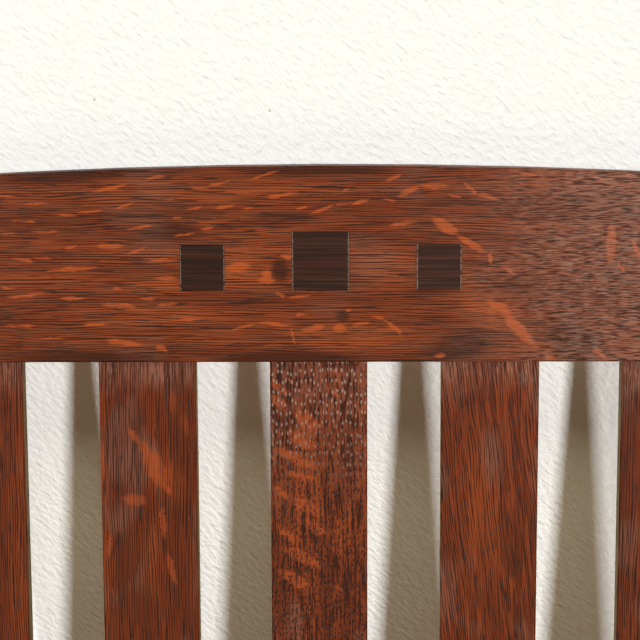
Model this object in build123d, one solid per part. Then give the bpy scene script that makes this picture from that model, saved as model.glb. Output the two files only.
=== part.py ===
from build123d import *
import math
import os

# A mission settle: a canted back of slats under an arched crest, slatted sides,
# flat arms on corbels, and a drop-in leather seat that lifts out.
# Millimetres. X runs along the seat, Y to the back and Z up. While the pieces are
# made, Y is zero at the front posts' front faces and Z is zero on the floor.

# Timber sections
post = 57.0
slat_width = 63.5
slat_thickness = 12.7
rail_thickness = 22.0
seat_rail_thickness = 25.0
arm_thickness = 25.0

# Slats and the gaps between them
slat_gap = 50.0
back_slat_count = 11
side_slat_count = 5

# Two slats at the middle stand left of their even places, by these shares of the gap
back_slat_drift_shares = {6: 0.034, 7: 0.07}

# Heights above the floor
glide_height = 3.0
side_bottom_rail_low = 190.0
seat_rail_top = 400.0
arm_top = 622.0

# Depths of the rails, from their top edge to their bottom edge
front_rail_depth = 135.0
front_rail_arch = 18.0
seat_rail_depth = 110.0
side_bottom_rail_depth = 75.0
arm_rail_depth = 50.0
back_rail_depth = 75.0

# The back, measured up its slope from the posts' bend
bend_over_seat_rail = 15.0
cant_angle = 8.0
back_rail_low = 15.0
slat_show = 337.0
crest_height = 127.0
crest_rise = 50.5
post_over_crest = 22.0
back_setback = 14.0

# Places of the lower rails within the posts
front_rail_setback = 8.0
side_frame_gap = 3.7

# Arms
arm_front_overhang = 25.0
arm_inner_overhang = 19.0
arm_outer_overhang = 32.0
arm_tail_overhang = 24.0
arm_tail_short = 6.0
arm_side_bow = 4.0
arm_corner_radius = 12.0
arm_edge_radius = 3.0
arm_tenon = 38.0
arm_tenon_proud = 4.0

# Corbels
corbel_reach = 22.0
corbel_drop = 150.0
corbel_lip = 14.0
corbel_foot = 7.0
corbel_hollow = 4.0

# Mortise and tenon joints
tenon_thickness = 12.0
tenon_length = 32.0
tenon_shoulder = 8.0
slat_tenon = 20.0
joint_clearance = 0.15
socket_end_gap = 2.0

# Square pins that lock the tenons
pin_width = 9.5
pin_past_tenon = 2.5
pin_end_gap = 0.5
pin_proud = 0.5
front_pin_height_shares = (0.25, 0.75)

# Square pegs let into the crest
crest_peg_spacing = 76.2
crest_peg_rise = 46.8
crest_peg_depth = 10.0
crest_peg_proud = 0.2
middle_peg_width = 36.5
middle_peg_height = 38.0
side_peg_width = 28.6
side_peg_height = 29.7

# Eased edges
rail_edge_break = 1.0
slat_edge_break = 0.8
post_edge_radius = 2.0
post_top_chamfer = 5.0
foot_chamfer = 3.0
tenon_top_chamfer = 3.0
pin_chamfer = 0.5

# What carries the seat
cleat_reach = 25.0
cleat_depth = 22.0
bearer_depth = 60.0
bearer_width = 22.0
bearer_stub = 8.0
bearer_spacing_share = 1 / 3
corner_block_leg = 80.0
corner_block_depth = 40.0
corner_block_nose = 10.0

# Drop-in seat
seat_frame_thickness = 22.0
seat_frame_width = 60.0
seat_cross_width = 45.0
seat_side_clearance = 3.0
seat_back_clearance = 7.0
seat_tenon_thickness = 8.0
seat_tenon_length = 15.0
webbing_thickness = 2.0
webbing_width = 50.0
webbing_lap = 30.0
long_web_count = 5
cross_web_count = 12

# Leather-covered pad
pad_inset = 2.0
pad_height = 56.0
pad_corner_radius = 26.0
pad_draw_in = 6.0
pad_above_webbing = 0.3
pad_corner_growth_share = 1 / 8
pad_section_shares = (
    (0.012, 0.0),
    (0.0, 0.18),
    (0.0, 0.42),
    (0.009, 0.6),
    (0.034, 0.71),
    (0.12, 0.82),
    (0.28, 0.915),
    (0.5, 0.975),
    (0.75, 1.0),
)

# Foot glides
glide_radius = 12.0
glide_chamfer = 0.8

# One overrun serves every cut that opens through a face
overrun = 5.0

# Worked-out places
slat_pitch = slat_width + slat_gap
span = back_slat_count * slat_pitch + slat_gap
side_span = side_slat_count * slat_pitch + slat_gap
half_span = span / 2
post_outer = half_span + post
back_post_front = post + side_span
bend_height = seat_rail_top + bend_over_seat_rail
arm_bottom = arm_top - arm_thickness
front_rail_rear = front_rail_setback + seat_rail_thickness
back_rail_front = back_post_front + post - front_rail_rear
side_tenon_length = post - front_rail_rear - socket_end_gap
side_plane = half_span + rail_thickness + side_frame_gap + rail_thickness / 2
crest_low = back_rail_low + back_rail_depth + slat_show
crest_end_height = crest_height - crest_rise
back_post_top = crest_low + crest_end_height + post_over_crest
cleat_top = seat_rail_top - seat_frame_thickness
cleat_bottom = cleat_top - cleat_depth
bearer_x = half_span * bearer_spacing_share

# The back's own frame: upright there, it leans back by the cant about the bend
lean = Location((0, back_post_front, bend_height), (-cant_angle, 0, 0))
slope = math.tan(math.radians(cant_angle))


def about(centre, width):
    """The low and high ends of a width set about its centre."""
    return (centre - width / 2, centre + width / 2)


def within(ends, margin):
    """A span made shorter by a margin at both ends."""
    return (ends[0] + margin, ends[1] - margin)


def block(x, y, z):
    """A rectangular solid between the low and high ends given along each axis."""
    size = [high - low for low, high in (x, y, z)]
    middle = [(high + low) / 2 for low, high in (x, y, z)]
    return Pos(*middle) * Box(*size)


def socket(x, y, z, deep):
    """The mortise for a tenon: a clearance all round and a glue gap at its blind end."""
    ends = []
    for (low, high), way in zip((x, y, z), deep):
        low_room = socket_end_gap if way < 0 else joint_clearance
        high_room = socket_end_gap if way > 0 else joint_clearance
        ends.append((low - low_room, high + high_room))
    return block(*ends)


def eased(piece, axis, size):
    """A piece with the sharp edges along one axis taken off."""
    return chamfer(piece.edges().filter_by(axis), size)


def mirrored(piece):
    """The same piece on the settle's other side."""
    return mirror(piece, Plane.YZ)


def both_ends(piece):
    """A piece together with its twin on the settle's other side."""
    return piece + mirrored(piece)


def plate_yz(outline, x):
    """A profile drawn in Y and Z, given its thickness along X."""
    return extrude(Plane.YZ.offset(x[0]) * outline, x[1] - x[0])


def plate_xz(outline, y):
    """A profile drawn in X and Z, given its thickness along Y."""
    return extrude(Plane.XZ.offset(-y[1]) * outline, y[1] - y[0])


def back_face_front(z):
    """How far back the leaning posts' front faces lie at a height."""
    return back_post_front + (z - bend_height) * slope


def back_face_rear(z):
    """How far back the leaning posts' rear faces lie at a height."""
    return back_face_front(z) + post / math.cos(math.radians(cant_angle))


# Tenons, as the spans that they fill. Those of the back are in its own frame.

def seat_rail_tenon(y_low, z_low):
    """The tenon of a long seat rail, as it enters the right-hand post."""
    x = (half_span, half_span + tenon_length)
    y = about(y_low + seat_rail_thickness / 2, tenon_thickness)
    z = within((z_low, seat_rail_top), tenon_shoulder)
    return x, y, z


def front_rail_tenon():
    return seat_rail_tenon(front_rail_setback, seat_rail_top - front_rail_depth)


def back_seat_rail_tenon():
    return seat_rail_tenon(back_rail_front, seat_rail_top - seat_rail_depth)


def leaning_rail_tenon(z_low, z_high):
    """The tenon of a rail of the back, in the back's own frame."""
    x = (half_span, half_span + tenon_length)
    y = about(back_setback + rail_thickness / 2, tenon_thickness)
    z = within((z_low, z_high), tenon_shoulder)
    return x, y, z


def crest_tenon():
    return leaning_rail_tenon(crest_low, crest_low + crest_end_height)


def back_rail_tenon():
    return leaning_rail_tenon(back_rail_low, back_rail_low + back_rail_depth)


def side_tenon(x_centre, z_low, z_high, at_back):
    """The tenon of a side rail, entering the front or the back post."""
    z = within((z_low, z_high), tenon_shoulder)
    front_reach = post - side_tenon_length
    back_reach = back_face_front(max(z[0], bend_height)) + side_tenon_length
    y = (back_post_front, back_reach) if at_back else (front_reach, post)
    return about(x_centre, tenon_thickness), y, z


def side_rails():
    """Each side rail's centre line across, lower edge and upper edge."""
    seat = (half_span + rail_thickness / 2, seat_rail_top - seat_rail_depth, seat_rail_top)
    side_bottom_rail_high = side_bottom_rail_low + side_bottom_rail_depth
    bottom = (side_plane, side_bottom_rail_low, side_bottom_rail_high)
    arm = (side_plane, arm_bottom - arm_rail_depth, arm_bottom)
    return {"seat": seat, "bottom": bottom, "arm": arm}


# Pins

def front_pins():
    """The spans of the pins in the right-hand front post, one above the other."""
    x, y, _ = front_rail_tenon()
    heights = [seat_rail_top - front_rail_depth * share for share in front_pin_height_shares]
    depth = (-pin_proud, y[1] + pin_past_tenon)
    return [(about(sum(x) / 2, pin_width), depth, about(z, pin_width)) for z in heights]


def back_pins():
    """The spans of the pins in the right-hand back post, in the back's own frame."""
    pins = []
    for x, y, z in (crest_tenon(), back_rail_tenon()):
        depth = (-pin_proud, y[1] + pin_past_tenon)
        pins.append((about(sum(x) / 2, pin_width), depth, about(sum(z) / 2, pin_width)))
    return pins


def pin(x, y, z):
    """A square pin whose face stands a little proud, with its edges broken."""
    body = block(x, y, z)
    return chamfer(body.faces().sort_by(Axis.Y)[0].edges(), pin_chamfer)


def pin_hole(x, y, z):
    """The hole of a pin, open at the front."""
    grown = [(low - joint_clearance, high + joint_clearance) for low, high in (x, z)]
    return block(grown[0], (y[0] - overrun, y[1] + pin_end_gap), grown[1])


def joint_pins():
    front = [pin(*spans) for spans in front_pins()]
    back = [lean * pin(*spans) for spans in back_pins()]
    right = front + back
    return Compound(children=right + [mirrored(piece) for piece in right])


# Posts

def front_post():
    """The right-hand front post, with its tenon through the arm."""
    body = block((half_span, post_outer), (0, post), (glide_height, arm_bottom))
    body = chamfer(body.faces().sort_by(Axis.Z)[0].edges(), foot_chamfer)
    body = fillet(body.edges().filter_by(Axis.Z), post_edge_radius)
    centre = half_span + post / 2
    through = block(about(centre, arm_tenon), about(post / 2, arm_tenon),
                    (arm_bottom, arm_top + arm_tenon_proud))
    through = chamfer(through.faces().sort_by(Axis.Z)[-1].edges(), tenon_top_chamfer)
    body += through
    body -= socket(*front_rail_tenon(), (1, 0, 0))
    for rail in side_rails().values():
        body -= socket(*side_tenon(*rail, False), (0, -1, 0))
    for spans in front_pins():
        body -= pin_hole(*spans)
    return body


def back_post():
    """The right-hand back post, upright to the bend and leaning above it."""
    rear_bend = bend_height - post * math.tan(math.radians(cant_angle / 2))
    top_front = lean * Pos(0, 0, back_post_top)
    top_rear = lean * Pos(0, post, back_post_top)
    outline = Polyline(
        (back_post_front, glide_height),
        (back_post_front, bend_height),
        (top_front.position.Y, top_front.position.Z),
        (top_rear.position.Y, top_rear.position.Z),
        (back_post_front + post, rear_bend),
        (back_post_front + post, glide_height),
        close=True,
    )
    body = plate_yz(make_face(outline), (half_span, post_outer))
    body = chamfer(body.faces().sort_by(Axis.Z)[-1].edges(), post_top_chamfer)
    body = chamfer(body.faces().sort_by(Axis.Z)[0].edges(), foot_chamfer)
    long_edges = [edge for edge in body.edges() if edge.length > post + overrun]
    body = fillet(long_edges, post_edge_radius)
    body -= socket(*back_seat_rail_tenon(), (1, 0, 0))
    body -= lean * socket(*crest_tenon(), (1, 0, 0))
    body -= lean * socket(*back_rail_tenon(), (1, 0, 0))
    for rail in side_rails().values():
        body -= socket(*side_tenon(*rail, True), (0, 1, 0))
    for spans in back_pins():
        body -= lean * pin_hole(*spans)
    return body


# The back

def slat_centres(count):
    """Places of a row of slats along the middle of its opening."""
    return [slat_pitch * (number - (count - 1) / 2) for number in range(count)]


def back_slat_centres():
    """Places of the back slats, in order from the left."""
    evenly = enumerate(slat_centres(back_slat_count), 1)
    return [place - slat_gap * back_slat_drift_shares.get(number, 0) for number, place in evenly]


def slat_spans(x_centre):
    """A back slat in the back's own frame, standing on the floor of its lower mortise."""
    y = about(back_setback + rail_thickness / 2, slat_thickness)
    z = (crest_low - slat_show - slat_tenon, crest_low + slat_tenon)
    return about(x_centre, slat_width), y, z


def slat_mortises():
    """The mortises for all the back slats, in the back's own frame."""
    cuts = []
    for centre in back_slat_centres():
        x, y, z = slat_spans(centre)
        wide = within(x, -joint_clearance)
        deep = within(y, -joint_clearance)
        cuts.append(block(wide, deep, (z[0], z[1] + socket_end_gap)))
    return cuts


def back_slats():
    slats = []
    for centre in back_slat_centres():
        slats.append(lean * eased(block(*slat_spans(centre)), Axis.Z, slat_edge_break))
    return slats


def crest_pegs():
    """The pegs' spans in the back's own frame, by name, their lower edges in line."""
    sizes = {
        "left": (-crest_peg_spacing, side_peg_width, side_peg_height),
        "centre": (0, middle_peg_width, middle_peg_height),
        "right": (crest_peg_spacing, side_peg_width, side_peg_height),
    }
    low = crest_low + crest_peg_rise
    y = (back_setback - crest_peg_proud, back_setback + crest_peg_depth)
    return {name: (about(x, wide), y, (low, low + high)) for name, (x, wide, high) in sizes.items()}


def crest_peg(x, y, z):
    """A square peg, standing proud by less than the thickness of a card."""
    body = block(x, y, z)
    return lean * chamfer(body.faces().sort_by(Axis.Y)[0].edges(), crest_peg_proud)


def crest_rail():
    """The crest, with a straight lower edge and its top edge one long arc."""
    top = crest_low + crest_height
    end = crest_low + crest_end_height
    outline = Polyline((-half_span, end), (-half_span, crest_low), (half_span, crest_low), (half_span, end))
    outline += ThreePointArc((half_span, end), (0, top), (-half_span, end))
    body = plate_xz(make_face(outline), (back_setback, back_setback + rail_thickness))
    long_edges = [edge for edge in body.edges() if edge.length > span - overrun]
    body = chamfer(long_edges, rail_edge_break)
    body += both_ends(block(*crest_tenon()))
    for cut in slat_mortises():
        body -= cut
    for x, y, z in crest_pegs().values():
        recess = (y[0] - overrun, y[1])
        body -= block(within(x, -joint_clearance), recess, within(z, -joint_clearance))
    for x, y, z in back_pins():
        body -= both_ends(pin_hole(x, y, z))
    return lean * body


def lower_back_rail():
    """The rail behind the cushion that the back slats stand in."""
    y = (back_setback, back_setback + rail_thickness)
    body = block((-half_span, half_span), y, (back_rail_low, back_rail_low + back_rail_depth))
    body = eased(body, Axis.X, rail_edge_break)
    body += both_ends(block(*back_rail_tenon()))
    for cut in slat_mortises():
        body -= cut
    for x, y, z in back_pins():
        body -= both_ends(pin_hole(x, y, z))
    return lean * body


# Seat rails and sides

def bearer_stub_spans(grow):
    """The stub that each end of the right-hand bearer puts into a long seat rail."""
    x = within(about(bearer_x, bearer_width), -grow)
    y = (front_rail_rear - bearer_stub - grow, back_rail_front + bearer_stub + grow)
    z = within(within((cleat_top - bearer_depth, cleat_bottom), tenon_shoulder / 2), -grow)
    return x, y, z


def front_seat_rail():
    """The deep front rail, its lower edge raised in a slow arch."""
    low = seat_rail_top - front_rail_depth
    outline = Polyline((-half_span, low), (-half_span, seat_rail_top), (half_span, seat_rail_top),
                       (half_span, low))
    outline += ThreePointArc((half_span, low), (0, low + front_rail_arch), (-half_span, low))
    body = plate_xz(make_face(outline), (front_rail_setback, front_rail_rear))
    long_edges = [edge for edge in body.edges() if edge.length > span - overrun]
    body = chamfer(long_edges, rail_edge_break)
    body += both_ends(block(*front_rail_tenon()))
    for spans in front_pins():
        body -= both_ends(pin_hole(*spans))
    body -= both_ends(block(*bearer_stub_spans(joint_clearance)))
    return body


def back_seat_rail():
    """The rear seat rail between the back posts."""
    y = (back_rail_front, back_rail_front + seat_rail_thickness)
    body = block((-half_span, half_span), y, (seat_rail_top - seat_rail_depth, seat_rail_top))
    body = eased(body, Axis.X, rail_edge_break)
    body += both_ends(block(*back_seat_rail_tenon()))
    body -= both_ends(block(*bearer_stub_spans(joint_clearance)))
    return body


def side_rail(name):
    """A right-hand side rail, cut at its rear end to the slope of the back post."""
    centre, low, high = side_rails()[name]
    rear_low = back_face_front(max(low, bend_height))
    rear_high = back_face_front(max(high, bend_height))
    outline = Polyline((post, low), (rear_low, low), (rear_high, high), (post, high), close=True)
    x = about(centre, rail_thickness)
    body = plate_yz(make_face(outline), x)
    body = eased(body, Axis.Y, rail_edge_break)
    for at_back in (False, True):
        body += block(*side_tenon(centre, low, high, at_back))
    return body


def side_slat_spans(y_centre):
    """A right-hand side slat, standing on the floor of its lower mortise."""
    low = side_rails()["bottom"][2] - slat_tenon
    high = side_rails()["arm"][1] + slat_tenon
    return about(side_plane, slat_thickness), about(y_centre, slat_width), (low, high)


def side_slat_centres():
    return [post + side_span / 2 + place for place in slat_centres(side_slat_count)]


def side_mortises():
    cuts = []
    for centre in side_slat_centres():
        x, y, z = side_slat_spans(centre)
        deep = (z[0], z[1] + socket_end_gap)
        cuts.append(block(within(x, -joint_clearance), within(y, -joint_clearance), deep))
    return cuts


def slatted_rail(name):
    """A side rail with the mortises of the side slats."""
    body = side_rail(name)
    for cut in side_mortises():
        body -= cut
    return body


def side_slats():
    return [eased(block(*side_slat_spans(centre)), Axis.Z, slat_edge_break)
            for centre in side_slat_centres()]


# Arms and corbels

def arm():
    """The right-hand arm: a flat board that tapers to a tail beside the back post."""
    inner = half_span - arm_inner_overhang
    outer = post_outer + arm_outer_overhang
    tail = post_outer + arm_tail_overhang
    rear = back_face_rear(arm_bottom) - arm_tail_short
    bow = ((outer + tail) / 2 + arm_side_bow, (post + rear) / 2)
    outline = Polyline((tail, rear), (inner, rear), (inner, -arm_front_overhang),
                       (outer, -arm_front_overhang), (outer, post))
    outline += ThreePointArc((outer, post), bow, (tail, rear))
    body = extrude(Plane.XY.offset(arm_bottom) * make_face(outline), arm_thickness)
    nose = body.edges().filter_by(Axis.Z).sort_by(Axis.Y)[:2]
    tail_corner = body.edges().filter_by(Axis.Z).sort_by(Axis.Y)[-2:].sort_by(Axis.X)[-1:]
    body = fillet(nose + tail_corner, arm_corner_radius)
    body = fillet(body.faces().sort_by(Axis.Z)[-1].edges(), arm_edge_radius)
    body = chamfer(body.faces().sort_by(Axis.Z)[0].edges(), rail_edge_break)
    hole = within(about(post / 2, arm_tenon), -joint_clearance)
    across = within(about(half_span + post / 2, arm_tenon), -joint_clearance)
    body -= block(across, hole, (arm_bottom - overrun, arm_top + overrun))
    notch = block((inner - overrun, post_outer + joint_clearance),
                  (-joint_clearance, post + seat_rail_thickness),
                  (0, back_post_top))
    return body - lean * notch


def corbel(y_centre):
    """A right-hand corbel: a bracket with a hollowed edge, glued to the post's outer face."""
    tip = post_outer + corbel_reach
    foot = post_outer + corbel_foot
    low = arm_bottom - corbel_drop
    lip = arm_bottom - corbel_lip
    hollow = ((tip + foot) / 2 - corbel_hollow, (lip + low) / 2)
    outline = Polyline((foot, low), (post_outer, low), (post_outer, arm_bottom), (tip, arm_bottom),
                       (tip, lip))
    outline += ThreePointArc((tip, lip), hollow, (foot, low))
    body = plate_xz(make_face(outline), about(y_centre, rail_thickness))
    outer_edges = [edge for edge in body.edges() if edge.center().X > post_outer + corbel_foot / 2
                   and edge.length > rail_thickness and edge.center().Z < arm_bottom]
    return chamfer(outer_edges, rail_edge_break)


# What carries the seat

def long_cleat(name):
    """The strip along the front or back rail that the seat rests on."""
    front = (front_rail_rear, front_rail_rear + cleat_reach)
    back = (back_rail_front - cleat_reach, back_rail_front)
    y = front if name == "front" else back
    return block((-half_span, half_span), y, (cleat_bottom, cleat_top))


def side_cleats():
    """The strips along the side rails, between the long ones."""
    y = (front_rail_rear + cleat_reach, back_rail_front - cleat_reach)
    body = block((half_span - cleat_reach, half_span), y, (cleat_bottom, cleat_top))
    return Compound(children=[body, mirrored(body)])


def seat_bearers():
    """Two bars from rail to rail, notched under the cleats and stubbed into the rails."""
    x = about(bearer_x, bearer_width)
    whole = block(x, (front_rail_rear, back_rail_front), (cleat_top - bearer_depth, cleat_top))
    wide = within(x, -overrun)
    high = (cleat_bottom, cleat_top + overrun)
    whole -= block(wide, (front_rail_rear - overrun, front_rail_rear + cleat_reach), high)
    whole -= block(wide, (back_rail_front - cleat_reach, back_rail_front + overrun), high)
    whole += block(*bearer_stub_spans(0))
    return Compound(children=[whole, mirrored(whole)])


def corner_blocks():
    """Glued blocks across the four inner corners of the seat rails."""
    blocks = []
    z = (cleat_bottom - corner_block_depth, cleat_bottom)
    for corner_y, way in ((front_rail_rear, 1), (back_rail_front, -1)):
        leg = corner_block_leg
        nose = corner_block_nose
        outline = Polyline(
            (half_span, corner_y),
            (half_span, corner_y + way * leg),
            (half_span - nose, corner_y + way * leg),
            (half_span - leg, corner_y + way * nose),
            (half_span - leg, corner_y),
            close=True,
        )
        body = extrude(Plane.XY.offset(z[0]) * make_face(outline), z[1] - z[0])
        blocks += [body, mirrored(body)]
    return Compound(children=blocks)


def foot_glides():
    """A round glide under the middle of each post."""
    x = half_span + post / 2
    glides = []
    for y in (post / 2, back_post_front + post / 2):
        glide = Pos(x, y, glide_height / 2) * Cylinder(glide_radius, glide_height)
        glide = chamfer(glide.edges().sort_by(Axis.Z)[:1], glide_chamfer)
        glides += [glide, mirrored(glide)]
    return Compound(children=glides)


# The drop-in seat

seat_half = half_span - seat_side_clearance
seat_front = front_rail_rear + seat_side_clearance
seat_back = back_face_front(bend_height) + back_setback - seat_back_clearance
seat_z = (cleat_top, seat_rail_top)
seat_inner_front = seat_front + seat_frame_width
seat_inner_back = seat_back - seat_frame_width


def seat_tenon(x_centre, width):
    """A loose-frame rail's tenon, right through both long members' inner edges."""
    x = within(about(x_centre, width), tenon_shoulder)
    y = (seat_inner_front - seat_tenon_length, seat_inner_back + seat_tenon_length)
    return x, y, about(sum(seat_z) / 2, seat_tenon_thickness)


def seat_members():
    """Centre line and width of each bar that runs from front to back, right-hand half."""
    end = (seat_half - seat_frame_width / 2, seat_frame_width)
    cross = (bearer_x, seat_cross_width)
    return {"end": end, "cross": cross}


def seat_long_rail(y):
    """The seat frame's front or back rail, mortised for the bars between them."""
    body = eased(block((-seat_half, seat_half), y, seat_z), Axis.X, rail_edge_break)
    for centre, width in seat_members().values():
        x, tenon_y, z = seat_tenon(centre, width)
        hole_y = within(tenon_y, -socket_end_gap)
        hole = block(within(x, -joint_clearance), hole_y, within(z, -joint_clearance))
        body -= both_ends(hole)
    return body


def seat_bar(name):
    """One of the seat frame's bars that run from front to back, on the right."""
    centre, width = seat_members()[name]
    body = block(about(centre, width), (seat_inner_front, seat_inner_back), seat_z)
    return eased(body, Axis.Y, rail_edge_break) + block(*seat_tenon(centre, width))


def spread(low, high, count):
    """Centre lines that share a width equally."""
    step = (high - low) / count
    return [low + step * (number + 1 / 2) for number in range(count)]


def seat_webbing():
    """Straps across the seat frame in both directions, as one flat net."""
    z = (seat_rail_top, seat_rail_top + webbing_thickness)
    x = (-seat_half + webbing_lap, seat_half - webbing_lap)
    y = (seat_front + webbing_lap, seat_back - webbing_lap)
    long_places = spread(y[0], y[1], long_web_count)
    cross_places = spread(x[0], x[1], cross_web_count)
    straps = [block(x, about(place, webbing_width), z) for place in long_places]
    straps += [block(about(place, webbing_width), y, z) for place in cross_places]
    return straps[0] + straps[1:]


def pad_outline(half_x, half_y, radius, draw_in):
    """A cushion's outline: four sides drawn in between rounded corners, all arcs."""
    straight_x = half_x - radius
    straight_y = half_y - radius
    turn = radius * math.sqrt(1 / 2)
    arcs = []
    for sign_x, sign_y in ((1, 1), (-1, 1), (-1, -1), (1, -1)):
        side_end = (sign_x * half_x, sign_y * straight_y)
        top_end = (sign_x * straight_x, sign_y * half_y)
        bend = (sign_x * (straight_x + turn), sign_y * (straight_y + turn))
        first, last = (side_end, top_end) if sign_x == sign_y else (top_end, side_end)
        arcs.append(ThreePointArc(first, bend, last))
    mids = [(0, half_y - draw_in), (-half_x + draw_in, 0), (0, -half_y + draw_in), (half_x - draw_in, 0)]
    ends = [arcs[1] @ 0, arcs[2] @ 0, arcs[3] @ 0, arcs[0] @ 0]
    sides = [ThreePointArc(arc @ 1, mid, end) for arc, mid, end in zip(arcs, mids, ends)]
    ordered = [piece for pair in zip(arcs, sides) for piece in pair]
    return make_face(Curve() + ordered)


def seat_pad():
    """The crowned leather pad: full sides, drawn in between its corners, under a crown.

    The loft runs through outlines given by their inset from the pad's edge, as a share
    of its half depth, and their height, as a share of its full height.
    """
    half_x = seat_half - pad_inset
    half_y = (seat_back - seat_front) / 2 - pad_inset
    middle_y = (seat_front + seat_back) / 2
    low = seat_rail_top + webbing_thickness + pad_above_webbing
    sections = []
    for inset_share, height_share in pad_section_shares:
        inset = half_y * inset_share
        radius = pad_corner_radius + inset * pad_corner_growth_share
        draw_in = pad_draw_in * (1 - inset_share)
        outline = pad_outline(half_x - inset, half_y - inset, radius, draw_in)
        sections.append(Pos(0, middle_y, low + pad_height * height_share) * outline)
    return loft(sections, ruled=True)


# All the pieces by name

def settle():
    pieces = {"crest_rail": crest_rail(), "lower_back_rail": lower_back_rail()}
    for number, slat in enumerate(back_slats(), 1):
        pieces[f"back_slat_{number:02d}"] = slat
    for name, spans in crest_pegs().items():
        pieces[f"crest_peg_{name}"] = crest_peg(*spans)
    pieces["front_seat_rail"] = front_seat_rail()
    pieces["back_seat_rail"] = back_seat_rail()

    back_corbel_height = arm_bottom - corbel_drop / 2
    back_corbel_y = (back_face_front(back_corbel_height) + back_face_rear(back_corbel_height)) / 2
    handed = {
        "front_post": front_post(),
        "back_post": back_post(),
        "side_seat_rail": side_rail("seat"),
        "side_bottom_rail": slatted_rail("bottom"),
        "arm_rail": slatted_rail("arm"),
        "arm": arm(),
        "corbel_front": corbel(post / 2),
        "corbel_back": corbel(back_corbel_y),
        "seat_frame": seat_bar("end"),
    }
    for name, piece in handed.items():
        pieces[f"{name}_right"] = piece
        pieces[f"{name}_left"] = mirrored(piece)
    for number, slat in enumerate(side_slats(), 1):
        pieces[f"side_slat_right_{number}"] = slat
        pieces[f"side_slat_left_{number}"] = mirrored(slat)

    pieces["joint_pegs"] = joint_pins()
    pieces["cleat_front"] = long_cleat("front")
    pieces["cleat_back"] = long_cleat("back")
    pieces["side_cleats"] = side_cleats()
    pieces["seat_bearers"] = seat_bearers()
    pieces["corner_blocks"] = corner_blocks()
    pieces["foot_glides"] = foot_glides()
    pieces["seat_frame_front"] = seat_long_rail((seat_front, seat_inner_front))
    pieces["seat_frame_back"] = seat_long_rail((seat_inner_back, seat_back))
    cross = seat_bar("cross")
    pieces["seat_frame_cross"] = Compound(children=[cross, mirrored(cross)])
    pieces["seat_webbing"] = seat_webbing()
    pieces["seat_pad"] = seat_pad()
    return pieces


def placed(piece, shift):
    """A piece moved to its final place, solid by solid."""
    solids = [shift * solid for solid in piece.solids()]
    return solids[0] if len(solids) == 1 else Compound(children=solids)


# The origin is the middle of the settle's footprint, on the floor
pieces = settle()
boxes = [piece.bounding_box() for piece in pieces.values()]
front = min(box.min.Y for box in boxes)
rear = max(box.max.Y for box in boxes)
centring = Pos(0, -(front + rear) / 2, 0)

os.makedirs("parts", exist_ok=True)
for name, piece in pieces.items():
    export_step(placed(piece, centring), f"parts/{name}.step")
    print(name)
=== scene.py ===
"""Looks of a mission settle: stained quarter-sawn oak, dark square pegs and a leather drop-in seat.

Metres. X runs along the seat, Y to the back and Z up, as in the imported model. Boards of the leaning
back are finished in the back's own frame, upright there, with its origin where the posts bend.
"""

import logging
import math
from dataclasses import dataclass
from dataclasses import replace
from enum import Enum

import bpy
import numpy as np
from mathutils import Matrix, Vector
from mathutils.bvhtree import BVHTree


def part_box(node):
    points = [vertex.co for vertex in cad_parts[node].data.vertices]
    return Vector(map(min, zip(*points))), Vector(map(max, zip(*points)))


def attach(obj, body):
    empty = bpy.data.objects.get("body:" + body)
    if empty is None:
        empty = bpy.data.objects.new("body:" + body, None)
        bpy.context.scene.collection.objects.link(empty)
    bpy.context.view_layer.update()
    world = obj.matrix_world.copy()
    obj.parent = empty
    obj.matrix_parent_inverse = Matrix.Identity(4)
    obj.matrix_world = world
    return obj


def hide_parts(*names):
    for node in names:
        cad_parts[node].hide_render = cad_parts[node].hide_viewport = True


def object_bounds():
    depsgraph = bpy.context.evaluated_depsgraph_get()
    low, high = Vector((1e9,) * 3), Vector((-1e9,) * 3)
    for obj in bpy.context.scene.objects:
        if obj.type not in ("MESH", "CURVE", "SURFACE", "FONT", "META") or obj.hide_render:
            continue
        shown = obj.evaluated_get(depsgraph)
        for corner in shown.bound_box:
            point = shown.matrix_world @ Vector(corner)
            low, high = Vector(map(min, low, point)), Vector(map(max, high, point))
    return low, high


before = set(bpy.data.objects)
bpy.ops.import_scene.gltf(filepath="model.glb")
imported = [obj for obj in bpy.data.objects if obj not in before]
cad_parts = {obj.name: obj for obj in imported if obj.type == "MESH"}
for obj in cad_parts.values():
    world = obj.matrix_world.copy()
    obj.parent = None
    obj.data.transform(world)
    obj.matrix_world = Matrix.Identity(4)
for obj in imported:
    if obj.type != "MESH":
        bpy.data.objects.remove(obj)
cad_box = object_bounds()

log = logging.getLogger("settle")

Colour = tuple[float, float, float]
Triple = tuple[float, float, float]
Pair = tuple[float, float]
Socket = bpy.types.NodeSocket

BACK_LEAN = math.radians(8.0)
BEND_OVER_SEAT_RAIL = 0.015

# What noise lies about, and where most of it lies.
NOISE_MIDDLE = 0.5
NOISE_SPAN = (0.3, 0.7)

# A squared distance beyond any patch, in the patch's own radii.
FAR_OFF = 1e6


def srgb(red: int, green: int, blue: int) -> Colour:
    """A colour given as eight-bit screen values, in the linear values that shaders take.

    Args:
        red: red, 0 to 255.
        green: green, 0 to 255.
        blue: blue, 0 to 255.

    Returns:
        The linear colour.
    """
    shares = np.array((red, green, blue)) / 255.0
    low = shares / 12.92
    high = ((shares + 0.055) / 1.055) ** 2.4
    return tuple(float(value) for value in np.where(shares <= 0.04045, low, high))


class Grain(Enum):
    """The way a board's grain runs, as the order of the axes along, across and through it."""

    SIDEWAYS = (0, 2, 1)
    DEEP = (1, 0, 2)
    UPRIGHT = (2, 0, 1)


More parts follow.
